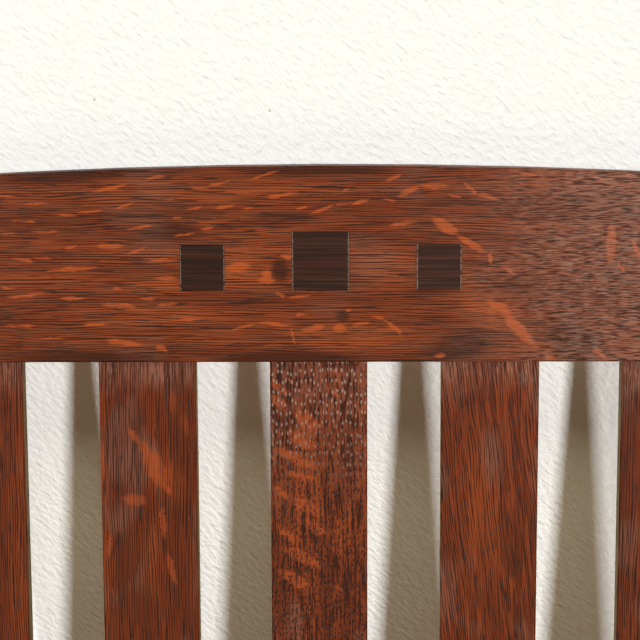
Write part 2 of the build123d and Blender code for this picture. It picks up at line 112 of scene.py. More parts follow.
class Shader:
    """A material under construction, with one short method for each kind of node it needs."""

    def __init__(self, name: str) -> None:
        """Starts an empty material.

        Args:
            name: the material's name.
        """
        self.material = bpy.data.materials.new(name)
        self.material.use_nodes = True
        self.tree = self.material.node_tree
        self.tree.nodes.clear()

    def node(self, kind: str, **settings: object) -> bpy.types.Node:
        """Adds a node.

        Args:
            kind: the node's type, without the ShaderNode prefix.
            settings: its properties by name.

        Returns:
            The new node.
        """
        made = self.tree.nodes.new("ShaderNode" + kind)
        for name, value in settings.items():
            setattr(made, name, value)
        return made

    def feed(self, target: Socket, source: object) -> None:
        """Links a socket to another, or sets it where the source is a plain value.

        Args:
            target: the input socket.
            source: an output socket, a number, or a tuple of numbers.
        """
        if isinstance(source, Socket):
            self.tree.links.new(source, target)
        elif isinstance(source, tuple) and len(source) == 3 and target.type == "RGBA":
            target.default_value = (*source, 1.0)
        else:
            target.default_value = source

    def calc(self, operation: str, first: object, second: object = 0.0) -> Socket:
        """Arithmetic on two numbers.

        Args:
            operation: the Math node's operation.
            first: the first number or socket.
            second: the second number or socket.

        Returns:
            The result.
        """
        made = self.node("Math", operation=operation)
        self.feed(made.inputs[0], first)
        self.feed(made.inputs[1], second)
        return made.outputs[0]

    def vector(self, operation: str, first: object, second: object) -> Socket:
        """Arithmetic on two vectors.

        Args:
            operation: the Vector Math node's operation.
            first: the first vector or socket.
            second: the second vector or socket.

        Returns:
            The result.
        """
        made = self.node("VectorMath", operation=operation)
        self.feed(made.inputs[0], first)
        self.feed(made.inputs[1], second)
        return made.outputs["Value" if operation == "LENGTH" else "Vector"]

    def scaled_sum(self, first: object, scale: object, last: object) -> Socket:
        """A vector times a scale, part by part, plus another vector.

        Args:
            first: the vector.
            scale: what each of its parts is multiplied by.
            last: the vector that is added.

        Returns:
            The sum.
        """
        made = self.node("VectorMath", operation="MULTIPLY_ADD")
        for target, source in zip(made.inputs, (first, scale, last)):
            self.feed(target, source)
        return made.outputs[0]

    def combine(self, x: object, y: object, z: object) -> Socket:
        """A vector from three numbers or sockets.

        Args:
            x: its first part.
            y: its second part.
            z: its third part.

        Returns:
            The vector.
        """
        made = self.node("CombineXYZ")
        for target, source in zip(made.inputs, (x, y, z)):
            self.feed(target, source)
        return made.outputs[0]

    def separate(self, source: Socket) -> list[Socket]:
        """The three parts of a vector.

        Args:
            source: the vector.

        Returns:
            Its parts in order.
        """
        made = self.node("SeparateXYZ")
        self.feed(made.inputs[0], source)
        return list(made.outputs)

    def noise(self, place: object, scale: tuple = (1.0, 1.0, 1.0), detail: float = 0.0,
              rough: float = 0.5, twist: float = 0.0) -> Socket:
        """Soft noise, stretched by a scale along each axis.

        Args:
            place: the vector that it is read at.
            scale: cycles per metre along each axis.
            detail: octaves above the first.
            rough: strength of each octave beside the one before.
            twist: how far the noise distorts itself.

        Returns:
            A value that lies about 0.5.
        """
        made = self.node("TexNoise")
        self.feed(made.inputs["Vector"], self.vector("MULTIPLY", place, scale))
        made.inputs["Scale"].default_value = 1.0
        made.inputs["Detail"].default_value = detail
        made.inputs["Roughness"].default_value = rough
        made.inputs["Distortion"].default_value = twist
        return made.outputs[0]

    def swing(self, source: object, reach: float) -> Socket:
        """A noise's way above or below its middle, times a reach.

        Args:
            source: the noise.
            reach: what a way of 1 is worth.

        Returns:
            A value that lies about 0.
        """
        return self.calc("MULTIPLY", self.calc("SUBTRACT", source, NOISE_MIDDLE), reach)

    def step(self, source: object, low: float, high: float, first: float = 0.0,
             last: float = 1.0) -> Socket:
        """A smooth step of a value.

        Args:
            source: the value.
            low: where the step begins.
            high: where it ends.
            first: the result below it.
            last: the result above it.

        Returns:
            The stepped value.
        """
        made = self.node("MapRange", interpolation_type="SMOOTHSTEP")
        for name, value in zip(("Value", "From Min", "From Max", "To Min", "To Max"),
                               (source, low, high, first, last)):
            self.feed(made.inputs[name], value)
        return made.outputs[0]

    def blend(self, share: object, under: object, over: object, mode: str = "MIX") -> Socket:
        """One colour laid over another.

        Args:
            share: how much of the upper one shows.
            under: the lower colour.
            over: the upper colour.
            mode: the Mix node's blend type.

        Returns:
            The mixed colour.
        """
        made = self.node("Mix", data_type="RGBA", blend_type=mode)
        self.feed(made.inputs[0], share)
        self.feed(made.inputs[6], under)
        self.feed(made.inputs[7], over)
        return made.outputs[2]

    def between(self, share: object, first: object, last: object) -> Socket:
        """A number part of the way between two others.

        Args:
            share: how far it is along the way.
            first: the number at the start.
            last: the number at the end.

        Returns:
            The number between them.
        """
        made = self.node("Mix", data_type="FLOAT")
        self.feed(made.inputs[0], share)
        self.feed(made.inputs[2], first)
        self.feed(made.inputs[3], last)
        return made.outputs[0]

    def placed(self, source: object, place: tuple, turn: tuple = (0.0, 0.0, 0.0),
               size: tuple = (1.0, 1.0, 1.0)) -> Socket:
        """Coordinates read in a frame that is moved, turned and scaled.

        Args:
            source: the vector.
            place: the frame's origin.
            turn: its turn about each axis, in radians.
            size: its unit along each axis.

        Returns:
            The vector in that frame.
        """
        made = self.node("Mapping", vector_type="TEXTURE")
        self.feed(made.inputs["Vector"], source)
        made.inputs["Location"].default_value = place
        made.inputs["Rotation"].default_value = turn
        made.inputs["Scale"].default_value = size
        return made.outputs[0]

    def object_place(self) -> Socket:
        """Object coordinates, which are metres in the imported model's frame."""
        return self.node("TexCoord").outputs["Object"]

    def bump(self, height: object, depth: float, strength: float = 1.0) -> Socket:
        """A normal for a height given as a share of a depth in metres.

        Args:
            height: the height.
            depth: the depth.
            strength: how much of the bump shows.

        Returns:
            The normal.
        """
        made = self.node("Bump")
        made.inputs["Strength"].default_value = strength
        made.inputs["Distance"].default_value = depth
        self.feed(made.inputs["Height"], height)
        return made.outputs[0]

    def surface(self, **inputs: object) -> bpy.types.Material:
        """Ends the material in a Principled shader.

        Args:
            inputs: its inputs, with spaces in their names written as underscores.

        Returns:
            The finished material.
        """
        principled = self.node("BsdfPrincipled")
        for name, value in inputs.items():
            self.feed(principled.inputs[name.replace("_", " ")], value)
        self.feed(self.node("OutputMaterial").inputs["Surface"], principled.outputs[0])
        return self.material


@dataclass(frozen=True)
class Flake:
    """A ray flake or a patch on a board's face: a lens lying at a slant.

    Places and sizes are millimetres on the board's face, x from the board's middle and z from
    the crest's lower edge, and the slant is degrees, anticlockwise as seen from the front.
    """

    x: float
    z: float
    long: float
    thick: float
    slant: float = 0.0

    def rows(self, middle: Pair) -> tuple[float, ...]:
        """What turns a place on the face into one in the lens's own radii.

        Along the lens that is x times the first value, plus z times the second, plus the third,
        and across it the same with the other three.

        Args:
            middle: where the board's middle and the crest's lower edge lie, in metres.

        Returns:
            The six values, for metres.
        """
        turn = math.radians(self.slant)
        x = middle[0] + self.x / 1000
        z = middle[1] + self.z / 1000
        along = (math.cos(turn) * 2000 / self.long, math.sin(turn) * 2000 / self.long)
        across = (-math.sin(turn) * 2000 / self.thick, math.cos(turn) * 2000 / self.thick)
        return (*along, -x * along[0] - z * along[1], *across, -x * across[0] - z * across[1])


@dataclass(frozen=True)
class PaintedSheen:
    """A painted reflection: a grey sheen on a board's finish, with painted glints on the grain's ridges.

    It comes in between the places clear and full along an axis, and goes again between last
    and gone. Clouds sway those places by a share of the way from clear to full. Strength and
    the glint share say how much the painted film and the painted glints cover, and dash is how
    long the grain's lines are inside the painted sheen. Lengths are metres.
    """

    axis: int
    clear: float
    full: float
    strength: float = 0.5
    painted_glints: float = 0.5
    dash: float = 0.030
    last: float = 5.0
    gone: float = 6.0
    sway: float = 0.8
    cloud_cycles: Triple = (35.0, 35.0, 35.0)
    # The painted sheen's film and its painted glints: colours that stand in for reflections, and the levels
    # where they show.
    sheen_film: Colour = srgb(176, 126, 106)
    sheen_film_levels: Pair = (0.43, 0.58)
    sheen_film_least: float = 0.05
    glint_colour: Colour = srgb(194, 172, 160)
    glint_levels: Pair = (0.62, 0.72)
    ridge_long: float = 0.0060
    ridge_wide: float = 0.0009

    def mask(self, shader: Shader, place: Socket) -> Socket:
        """How much painted sheen the board has at a place.

        Args:
            shader: the material being made.
            place: the board's own coordinates.

        Returns:
            A value from 0 to 1.
        """
        reach = shader.separate(place)[self.axis]
        cloud = shader.noise(place, self.cloud_cycles, detail=2.0)
        reach = shader.calc("ADD", reach, shader.swing(cloud, self.sway * (self.full - self.clear)))
        rising = shader.step(reach, self.clear, self.full)
        return shader.calc("MULTIPLY", rising, shader.step(reach, self.last, self.gone, 1.0, 0.0))

    def over(self, shader: Shader, colour: Socket, grain: Socket, lines: Socket, sheen_mask: Socket,
             bright: Socket | None) -> Socket:
        """Paints the sheen's film and its glints over a board's colour, standing in for reflections.

        The painted film lies on the grain's paler lines. The painted glints lie on its ridges, which
        are noise drawn out along the grain, unless the board has bright dashes to take their place.

        Args:
            shader: the material being made.
            colour: the colour under the painted sheen.
            grain: coordinates along, across and through the grain.
            lines: the grain's lines.
            sheen_mask: the painted sheen's own mask.
            bright: the dashes that are painted as glints, if the board has any.

        Returns:
            The colour with the painted sheen in it.
        """
        # Painted sheen: a grey film on the paler lines, standing in for a reflection.
        sheen_film = shader.calc("MULTIPLY", sheen_mask, shader.step(lines, *self.sheen_film_levels, self.sheen_film_least, 1.0))
        colour = shader.blend(shader.calc("MULTIPLY", sheen_film, self.strength), colour, self.sheen_film)
        if bright is None:
            across = 1.0 / self.ridge_wide
            ridges = shader.noise(grain, (1.0 / self.ridge_long, across, across))
            bright = shader.step(ridges, *self.glint_levels)
        # Painted glints: pale specks standing in for highlights on the grain's ridges.
        painted_glints = shader.calc("MULTIPLY", bright, sheen_mask)
        return shader.blend(shader.calc("MULTIPLY", painted_glints, self.painted_glints), colour, self.glint_colour)


@dataclass(frozen=True)
class Dashes:
    """Short dashes that stand in columns along a board's grain.

    There are two sets, drawn about loosely ordered cell points, and the second lies half a cell
    along from the first. Fine noise makes their outlines ragged. A cell's length and width are
    metres, and the levels, the rag and the second set's shift are in cells.
    """

    long: float
    wide: float
    disorder: float = 0.6
    rag: float = 0.22
    rag_cycles: Triple = (700.0, 1100.0, 1100.0)
    levels: Pair = (0.12, 0.22)
    shift: Triple = (7.5, 13.0, 0.0)

    def masks(self, shader: Shader, grain: Socket) -> list[Socket]:
        """Where each set's dashes lie.

        Args:
            shader: the material being made.
            grain: coordinates along, across and through the grain.

        Returns:
            1 inside a dash and 0 outside, for each set.
        """
        parts = shader.separate(grain)
        up = shader.calc("DIVIDE", parts[0], self.long)
        over = shader.calc("DIVIDE", shader.calc("ADD", parts[1], parts[2]), self.wide)
        ragged = shader.swing(shader.noise(grain, self.rag_cycles, detail=1.0), self.rag)
        found = []
        for shift in ((0.0, 0.0, 0.0), self.shift):
            cells = shader.node("TexVoronoi", feature="F1", voronoi_dimensions="2D")
            shader.feed(cells.inputs["Vector"], shader.vector("ADD", shader.combine(up, over, 0.0), shift))
            cells.inputs["Scale"].default_value = 1.0
            cells.inputs["Randomness"].default_value = self.disorder
            distance = shader.calc("ADD", cells.outputs["Distance"], ragged)
            found.append(shader.step(distance, *self.levels, 1.0, 0.0))
        return found


@dataclass(frozen=True)
class OakFinish:
    """Quarter-sawn oak under a reddish-brown stain, with open pores and ray flecks.

    Lengths are metres. Each layer is noise drawn out along the grain: fine lines mixed with
    even ripples, broad bands, a painted grey sheen in clouds that stands in for the lamps'
    reflection, flecks and pores. Of a layer's two levels the first is where it begins to show
    and the second where it shows in full, and the shade's are the other way round. A cover
    value is where a layer begins to show, so less is more cover, and a soft value is the way
    from there to where it shows in full.
    Slope leans the grain across the board, and wander lets it stray. Flakes, glows and shades
    are listed patches on the board's face, about face_from, its X and its height.
    """

    name: str
    grain: Grain
    leaning: bool = False
    seed: float = 0.0
    tone: float = 0.65
    dark: Colour = srgb(66, 30, 15)
    mid: Colour = srgb(145, 69, 37)
    light: Colour = srgb(178, 88, 45)
    fleck: Colour = srgb(208, 98, 44)
    pore: Colour = srgb(44, 24, 17)
    # The colour of a painted grey sheen in clouds, which stands in for the lamps' reflection.
    sheen_colour: Colour = srgb(140, 104, 90)
    end_dark: Colour = srgb(48, 27, 21)
    end_light: Colour = srgb(92, 50, 34)
    end_pore: Colour = srgb(28, 18, 16)
    seed_across: float = 0.37
    slope: float = 0.0
    wander: float = 0.003
    wander_long: float = 0.11
    wander_shape: float = 4.0
    line_long: float = 0.042
    line_wide: float = 0.00062
    line_levels: Pair = (0.36, 0.58)
    ripple_wide: float = 0.00155
    ripple_share: float = 0.45
    ripple_bend: float = 16.0
    ripple_rise: float = 0.22
    ripple_long: float = 1.5
    ripple_cycle: float = 160.0
    band_long: float = 0.30
    band_wide: float = 0.014
    light_levels: Pair = (0.48, 0.70)
    light_most: float = 0.6
    shade_levels: Pair = (0.28, 0.52)
    shade_most: float = 0.5
    shade_share: float = 0.8
    glow_radii: Pair = (1.1, 0.1)
    shade_radii: Pair = (1.1, 0.4)
    # Where the painted sheen's clouds lie and how much of it shows.
    sheen_cycles: Triple = (20.0, 34.0, 34.0)
    sheen_levels: Pair = (0.54, 0.70)
    sheen_share: float = 0.3
    fleck_long: float = 0.034
    fleck_wide: float = 0.0032
    fleck_cover: float = 0.66
    fleck_soft: float = 0.06
    fleck_turn: float = 0.0
    fleck_twist: float = 0.3
    fleck_share: float = 0.72
    fleck_bare: float = 0.0
    fleck_bare_soft: float = 0.05
    fleck_cover_pores: float = 1.0
    flake_radii: Pair = (1.06, 0.55)
    rag: float = 0.0035
    rag_cycles: Triple = (130.0, 130.0, 520.0)
    streak_levels: Pair = (0.34, 0.50)
    streak_least: float = 0.45
    pore_long: float = 0.020
    pore_wide: float = 0.0009
    pore_cover: float = 0.60
    pore_soft: float = 0.07
    pore_share: float = 0.8
    pore_depth: float = 0.00012
    pore_rough: float = 0.45
    line_rise: float = 0.35
    rough: float = 0.27
    gloss: float = 0.19
    end_levels: Pair = (0.8, 0.92)
    end_ring_cycles: Triple = (20.0, 420.0, 160.0)
    end_ring_levels: Pair = (0.35, 0.65)
    end_dot_cycles: Triple = (100.0, 1500.0, 1500.0)
    end_dot_levels: Pair = (0.60, 0.66)
    end_dot_share: float = 0.8
    dashes: Dashes | None = None
    painted_sheen: PaintedSheen | None = None
    flakes: tuple[Flake, ...] = ()
    glows: tuple[Flake, ...] = ()
    shades: tuple[Flake, ...] = ()
    face_from: Pair = (0.0, 0.0)

    def board_place(self, shader: Shader) -> Socket:
        """Coordinates in the frame that the board stands upright in.

        Args:
            shader: the material being made.

        Returns:
            The vector, in metres.
        """
        place = shader.object_place()
        if self.leaning:
            bend_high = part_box("seat_frame_back")[1].z + BEND_OVER_SEAT_RAIL
            bend = (0.0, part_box("back_post_left")[0].y, bend_high)
            place = shader.placed(place, bend, (-BACK_LEAN, 0.0, 0.0))
        return place

    def grain_place(self, shader: Shader, place: Socket) -> Socket:
        """Coordinates along, across and through the grain, with the lines' slow wander in them.

        The wander is added across the grain: its reach times soft noise that is drawn out along
        the grain, four times as long as it is wide.

        Args:
            shader: the material being made.
            place: the board's own coordinates.

        Returns:
            The vector, in metres.
        """
        parts = shader.separate(place)
        along, across, through = (parts[axis] for axis in self.grain.value)
        if self.slope:
            across = shader.calc("ADD", across, shader.calc("MULTIPLY", along, self.slope))
        still = shader.vector("ADD", shader.combine(along, across, through),
                              (self.seed, self.seed * self.seed_across, 0.0))
        cycle = 1.0 / self.wander_long
        wide_cycle = cycle * self.wander_shape
        swing = shader.noise(still, (cycle, wide_cycle, wide_cycle), detail=1.0)
        shift = shader.swing(swing, self.wander)
        return shader.vector("ADD", still, shader.combine(0.0, shift, shift))

    def patch_mask(self, shader: Shader, place: Socket, patches: tuple[Flake, ...], outer: float,
                   inner: float) -> Socket:
        """Where the listed flakes or patches lie.

        Each is the inside of an ellipse, and the smallest distance from a middle, in radii of
        its own ellipse, decides. They are worked out three at a time, one in each part of a
        vector, which keeps the material small.

        Args:
            shader: the material being made.
            place: the board's own coordinates, made ragged.
            patches: the flakes or patches.
            outer: the radius where the mask begins.
            inner: the radius where it is full.

        Returns:
            1 inside a patch and 0 outside.
        """
        parts = shader.separate(place)
        sideways = shader.combine(parts[0], parts[0], parts[0])
        upward = shader.combine(parts[2], parts[2], parts[2])
        nearest = (FAR_OFF, FAR_OFF, FAR_OFF)
        for first in range(0, len(patches), 3):
            trio = patches[first:first + 3]
            trio += trio[-1:] * (3 - len(trio))
            a, b, c, d, e, f = zip(*(patch.rows(self.face_from) for patch in trio))
            along = shader.scaled_sum(sideways, a, shader.scaled_sum(upward, b, c))
            across = shader.scaled_sum(sideways, d, shader.scaled_sum(upward, e, f))
            square = shader.scaled_sum(along, along, shader.vector("MULTIPLY", across, across))
            nearest = shader.vector("MINIMUM", nearest, square)
        one, two, three = shader.separate(nearest)
        radius = shader.calc("SQRT", shader.calc("MINIMUM", one, shader.calc("MINIMUM", two, three)))
        return shader.step(radius, inner, outer, 1.0, 0.0)

    def ripples(self, shader: Shader, grain: Socket) -> Socket:
        """Even rings, close together, that bend, fork and fade along the grain.

        They are a sine across the grain whose phase is shifted by slow noise.

        Args:
            shader: the material being made.
            grain: coordinates along, across and through the grain.

        Returns:
            A value that lies about 0.5.
        """
        along = 1.0 / (self.line_long * self.ripple_long)
        fade = shader.noise(grain, (along, self.ripple_cycle, self.ripple_cycle), detail=1.0)
        parts = shader.separate(grain)
        turns = shader.calc("MULTIPLY", shader.calc("ADD", parts[1], parts[2]), math.tau / self.ripple_wide)
        phase = shader.calc("ADD", turns, shader.calc("MULTIPLY", fade, self.ripple_bend))
        wave = shader.calc("MULTIPLY", shader.calc("SINE", phase), self.ripple_rise)
        return shader.calc("ADD", wave, NOISE_MIDDLE)

    def line_layer(self, shader: Shader, place: Socket, grain: Socket) -> tuple[Socket, Socket | None]:
        """The grain's lines, which are shorter inside the board's painted sheen.

        They are noise drawn out along the grain, mixed with the ripples by the ripples' share.

        Args:
            shader: the material being made.
            place: the board's own coordinates.
            grain: coordinates along, across and through the grain.

        Returns:
            The lines, and the painted sheen's mask if the board has one.
        """
        fine = 1.0 / self.line_wide
        lines = shader.noise(grain, (1.0 / self.line_long, fine, fine), detail=1.0)
        lines = shader.between(self.ripple_share, lines, self.ripples(shader, grain))
        if self.painted_sheen is None:
            return lines, None
        sheen_mask = self.painted_sheen.mask(shader, place)
        short = shader.noise(grain, (1.0 / self.painted_sheen.dash, fine, fine), detail=1.0)
        return shader.between(sheen_mask, lines, short), sheen_mask

    def stain_layer(self, shader: Shader, place: Socket, grain: Socket, line: Socket) -> Socket:
        """The stain's colour with a painted grey sheen over it, before the flecks and pores.

        The lines choose between dark and mid. The bands and the listed patches then lay
        light over the lines and dark over all, and a painted grey sheen, standing in for the lamps'
        reflection, lies on the lines in clouds.

        Args:
            shader: the material being made.
            place: the board's own coordinates.
            grain: coordinates along, across and through the grain.
            line: how far the lines show, from 0 to 1.

        Returns:
            The colour.
        """
        colour = shader.blend(line, self.dark, self.mid)
        broad = 1.0 / self.band_wide
        bands = shader.noise(grain, (1.0 / self.band_long, broad, broad), detail=2.0)
        lift = shader.step(bands, *self.light_levels, 0.0, self.light_most)
        if self.glows:
            glows = self.patch_mask(shader, place, self.glows, *self.glow_radii)
            lift = shader.calc("MAXIMUM", lift, glows)
        colour = shader.blend(shader.calc("MULTIPLY", lift, line), colour, self.light)
        shade = shader.step(bands, *self.shade_levels, self.shade_most, 0.0)
        if self.shades:
            shades = self.patch_mask(shader, place, self.shades, *self.shade_radii)
            shade = shader.calc("MAXIMUM", shade, shades)
        colour = shader.blend(shader.calc("MULTIPLY", shade, self.shade_share), colour, self.dark)
        # Painted sheen: grey clouds on the lines, standing in for the lamps' reflection.
        cloud = shader.noise(grain, self.sheen_cycles, detail=1.0)
        sheen_film = shader.calc("MULTIPLY", shader.step(cloud, *self.sheen_levels, 0.0, self.sheen_share), line)
        return shader.blend(sheen_film, colour, self.sheen_colour)

    def fleck_layer(self, shader: Shader, place: Socket, grain: Socket, lines: Socket) -> Socket:
        """Where ray flecks lie: noise turned from the grain, and the listed flakes.

        The noise leaves the board bare near its middle where fleck_bare says so. The lines
        streak all of them.

        Args:
            shader: the material being made.
            place: the board's own coordinates.
            grain: coordinates along, across and through the grain.
            lines: the grain's lines.

        Returns:
            How much a fleck covers, from 0 to 1.
        """
        turned = shader.placed(grain, (0.0, 0.0, 0.0), (0.0, 0.0, self.fleck_turn))
        width = 1.0 / self.fleck_wide
        cycles = (1.0 / self.fleck_long, width, width)
        flecks = shader.noise(turned, cycles, detail=1.0, twist=self.fleck_twist)
        fleck = shader.step(flecks, self.fleck_cover, self.fleck_cover + self.fleck_soft)
        if self.fleck_bare:
            side = shader.calc("ABSOLUTE", shader.separate(place)[0])
            outside = shader.step(side, self.fleck_bare, self.fleck_bare + self.fleck_bare_soft)
            fleck = shader.calc("MULTIPLY", fleck, outside)
        if self.flakes:
            shift = shader.swing(shader.noise(place, self.rag_cycles, detail=2.0), self.rag)
            ragged = shader.vector("ADD", place, shader.combine(shift, 0.0, shift))
            flakes = self.patch_mask(shader, ragged, self.flakes, *self.flake_radii)
            fleck = shader.calc("MAXIMUM", fleck, flakes)
        streak = shader.step(lines, *self.streak_levels, self.streak_least, 1.0)
        return shader.calc("MULTIPLY", fleck, shader.calc("MULTIPLY", streak, self.fleck_share))

    def pore_layer(self, shader: Shader, grain: Socket, fleck: Socket,
                   sheen_mask: Socket | None) -> tuple[Socket, Socket | None]:
        """Where open pores lie: fine noise, and the dashes of a board that has them.

        The second set of dashes is dark only outside the painted sheen; inside it they are painted as
        glints. Flecks close the pores.

        Args:
            shader: the material being made.
            grain: coordinates along, across and through the grain.
            fleck: how much the flecks cover.
            sheen_mask: the painted sheen's mask, which a board with dashes has.

        Returns:
            How open the pores are, from 0 to 1, and the dashes that are painted as glints inside the painted
            sheen.
        """
        width = 1.0 / self.pore_wide
        pores = shader.noise(grain, (1.0 / self.pore_long, width, width), detail=1.0)
        pore = shader.step(pores, self.pore_cover, self.pore_cover + self.pore_soft)
        bright = None
        if self.dashes:
            dark, bright = self.dashes.masks(shader, grain)
            below = shader.calc("MULTIPLY", bright, shader.calc("SUBTRACT", 1.0, sheen_mask))
            pore = shader.calc("MAXIMUM", pore, shader.calc("MAXIMUM", dark, below))
        cover = shader.calc("MULTIPLY", fleck, self.fleck_cover_pores)
        return shader.calc("MULTIPLY", pore, shader.calc("SUBTRACT", 1.0, cover)), bright

    def end_grain(self, shader: Shader, grain: Socket, colour: Socket) -> Socket:
        """Lays dark, pored end grain over faces that cut across the grain.

        Args:
            shader: the material being made.
            grain: coordinates along, across and through the grain.
            colour: the long grain's colour.

        Returns:
            The colour with the end grain in it.
        """
        facing = shader.separate(shader.node("NewGeometry").outputs["Normal"])[self.grain.value[0]]
        end = shader.step(shader.calc("ABSOLUTE", facing), *self.end_levels)
        rings = shader.noise(grain, self.end_ring_cycles, detail=2.0, twist=0.3)
        dots = shader.noise(grain, self.end_dot_cycles)
        tone = shader.blend(shader.step(rings, *self.end_ring_levels), self.end_dark, self.end_light)
        dot = shader.step(dots, *self.end_dot_levels, 0.0, self.end_dot_share)
        tone = shader.blend(dot, tone, self.end_pore)
        return shader.blend(end, colour, tone)

    def material(self) -> bpy.types.Material:
        """The finish as a material.

        Returns:
            The material.
        """
        shader = Shader("oak_" + self.name)
        place = self.board_place(shader)
        grain = self.grain_place(shader, place)
        lines, sheen_mask = self.line_layer(shader, place, grain)
        colour = self.stain_layer(shader, place, grain, shader.step(lines, *self.line_levels))
        fleck = self.fleck_layer(shader, place, grain, lines)
        colour = shader.blend(fleck, colour, self.fleck)
        open_pore, bright = self.pore_layer(shader, grain, fleck, sheen_mask)
        colour = shader.blend(shader.calc("MULTIPLY", open_pore, self.pore_share), colour, self.pore)
        # Painted sheen and painted glints, standing in for the lamps' reflection, where the board has them.
        if self.painted_sheen:
            colour = self.painted_sheen.over(shader, colour, grain, lines, sheen_mask, bright)
        colour = self.end_grain(shader, grain, colour)
        colour = shader.blend(1.0, colour, (self.tone, self.tone, self.tone), "MULTIPLY")
        height = shader.calc("SUBTRACT", shader.calc("MULTIPLY", lines, self.line_rise), open_pore)
        roughness = shader.calc("ADD", shader.calc("MULTIPLY", open_pore, self.pore_rough), self.rough)
        return shader.surface(Base_Color=colour, Roughness=roughness, Specular_IOR_Level=self.gloss,
                              Normal=shader.bump(height, self.pore_depth))


@dataclass(frozen=True)
class PegFinish:
    """Near-black brown wood for pegs, its grain straight, with pale broken lines at the joint.

    The pale lines lie on the left and right of a peg's face, in broken lines: partly wax left in
    the joint lines and partly painted highlights on the joint's edges. Lengths are metres.
    """

    name: str
    middle: float = 0.0
    half: float = 0.0
    tone: float = 0.7
    dark: Colour = srgb(53, 31, 23)
    light: Colour = srgb(74, 43, 31)
    hair: Colour = srgb(128, 100, 84)
    # Pale lines at the joint: partly wax, partly painted highlights on the joint's edges.
    wax_and_highlight: Colour = srgb(150, 138, 126)
    edge_line_wide: float = 0.0005
    edge_line_levels: Pair = (0.40, 0.52)
    edge_line_shares: Pair = (0.15, 0.9)
    edge_line_cycles: Triple = (60.0, 60.0, 620.0)
    line_cycles: Triple = (14.0, 900.0, 420.0)
    hair_cycles: Triple = (9.0, 10.0, 1500.0)
    hair_from: Triple = (0.3, 0.0, 0.1)
    hair_share: float = 0.3
    gloss: float = 0.1
    depth: float = 0.00005

    def material(self) -> bpy.types.Material:
        """The finish as a material.

        Returns:
            The material.
        """
        shader = Shader("peg_" + self.name)
        place = shader.object_place()
        lines = shader.noise(place, self.line_cycles, detail=2.0)
        colour = shader.blend(shader.step(lines, 0.4, 0.62), self.dark, self.light)
        hairs = shader.noise(shader.vector("ADD", place, self.hair_from), self.hair_cycles)
        colour = shader.blend(shader.step(hairs, 0.70, 0.78, 0.0, self.hair_share), colour, self.hair)
        # Pale broken lines at the left and right of the face: wax in the joint and painted highlights on its
        # edges.
        if self.half:
            side = shader.calc("ABSOLUTE", shader.calc("SUBTRACT", shader.separate(place)[0], self.middle))
            edge = shader.step(side, self.half - self.edge_line_wide * 1.6, self.half - self.edge_line_wide * 0.8)
            breaks = shader.noise(place, self.edge_line_cycles, detail=1.0)
            wax_and_highlight = shader.calc("MULTIPLY", edge, shader.step(breaks, *self.edge_line_levels, *self.edge_line_shares))
            colour = shader.blend(wax_and_highlight, colour, self.wax_and_highlight)
        colour = shader.blend(1.0, colour, (self.tone, self.tone, self.tone), "MULTIPLY")
        return shader.surface(Base_Color=colour, Roughness=shader.step(lines, *NOISE_SPAN, 0.38, 0.32),
                              Specular_IOR_Level=self.gloss, Normal=shader.bump(lines, self.depth))


@dataclass(frozen=True)
class BareWoodFinish:
    """Unstained hardwood for the parts under the seat: pale, with soft rings and a dry surface."""

    name: str
    grain: Grain
    dark: Colour = srgb(176, 140, 96)
    light: Colour = srgb(214, 184, 140)
    hair: Colour = srgb(140, 104, 66)
    ring_cycles: Triple = (5.0, 90.0, 90.0)
    hair_cycles: Triple = (40.0, 900.0, 900.0)
    hair_share: float = 0.4
    gloss: float = 0.3
    depth: float = 0.0002

    def material(self) -> bpy.types.Material:
        """The finish as a material.

        Returns:
            The material.
        """
        shader = Shader("bare_" + self.name)
        parts = shader.separate(shader.object_place())
        grain = shader.combine(*(parts[axis] for axis in self.grain.value))
        rings = shader.noise(grain, self.ring_cycles, detail=3.0, twist=0.3)
        hairs = shader.noise(grain, self.hair_cycles, detail=1.0)
        colour = shader.blend(shader.step(rings, 0.35, 0.65), self.dark, self.light)
        colour = shader.blend(shader.step(hairs, 0.55, 0.75, 0.0, self.hair_share), colour, self.hair)
        return shader.surface(Base_Color=colour, Roughness=shader.step(rings, *NOISE_SPAN, 0.72, 0.6),
                              Specular_IOR_Level=self.gloss, Normal=shader.bump(hairs, self.depth))


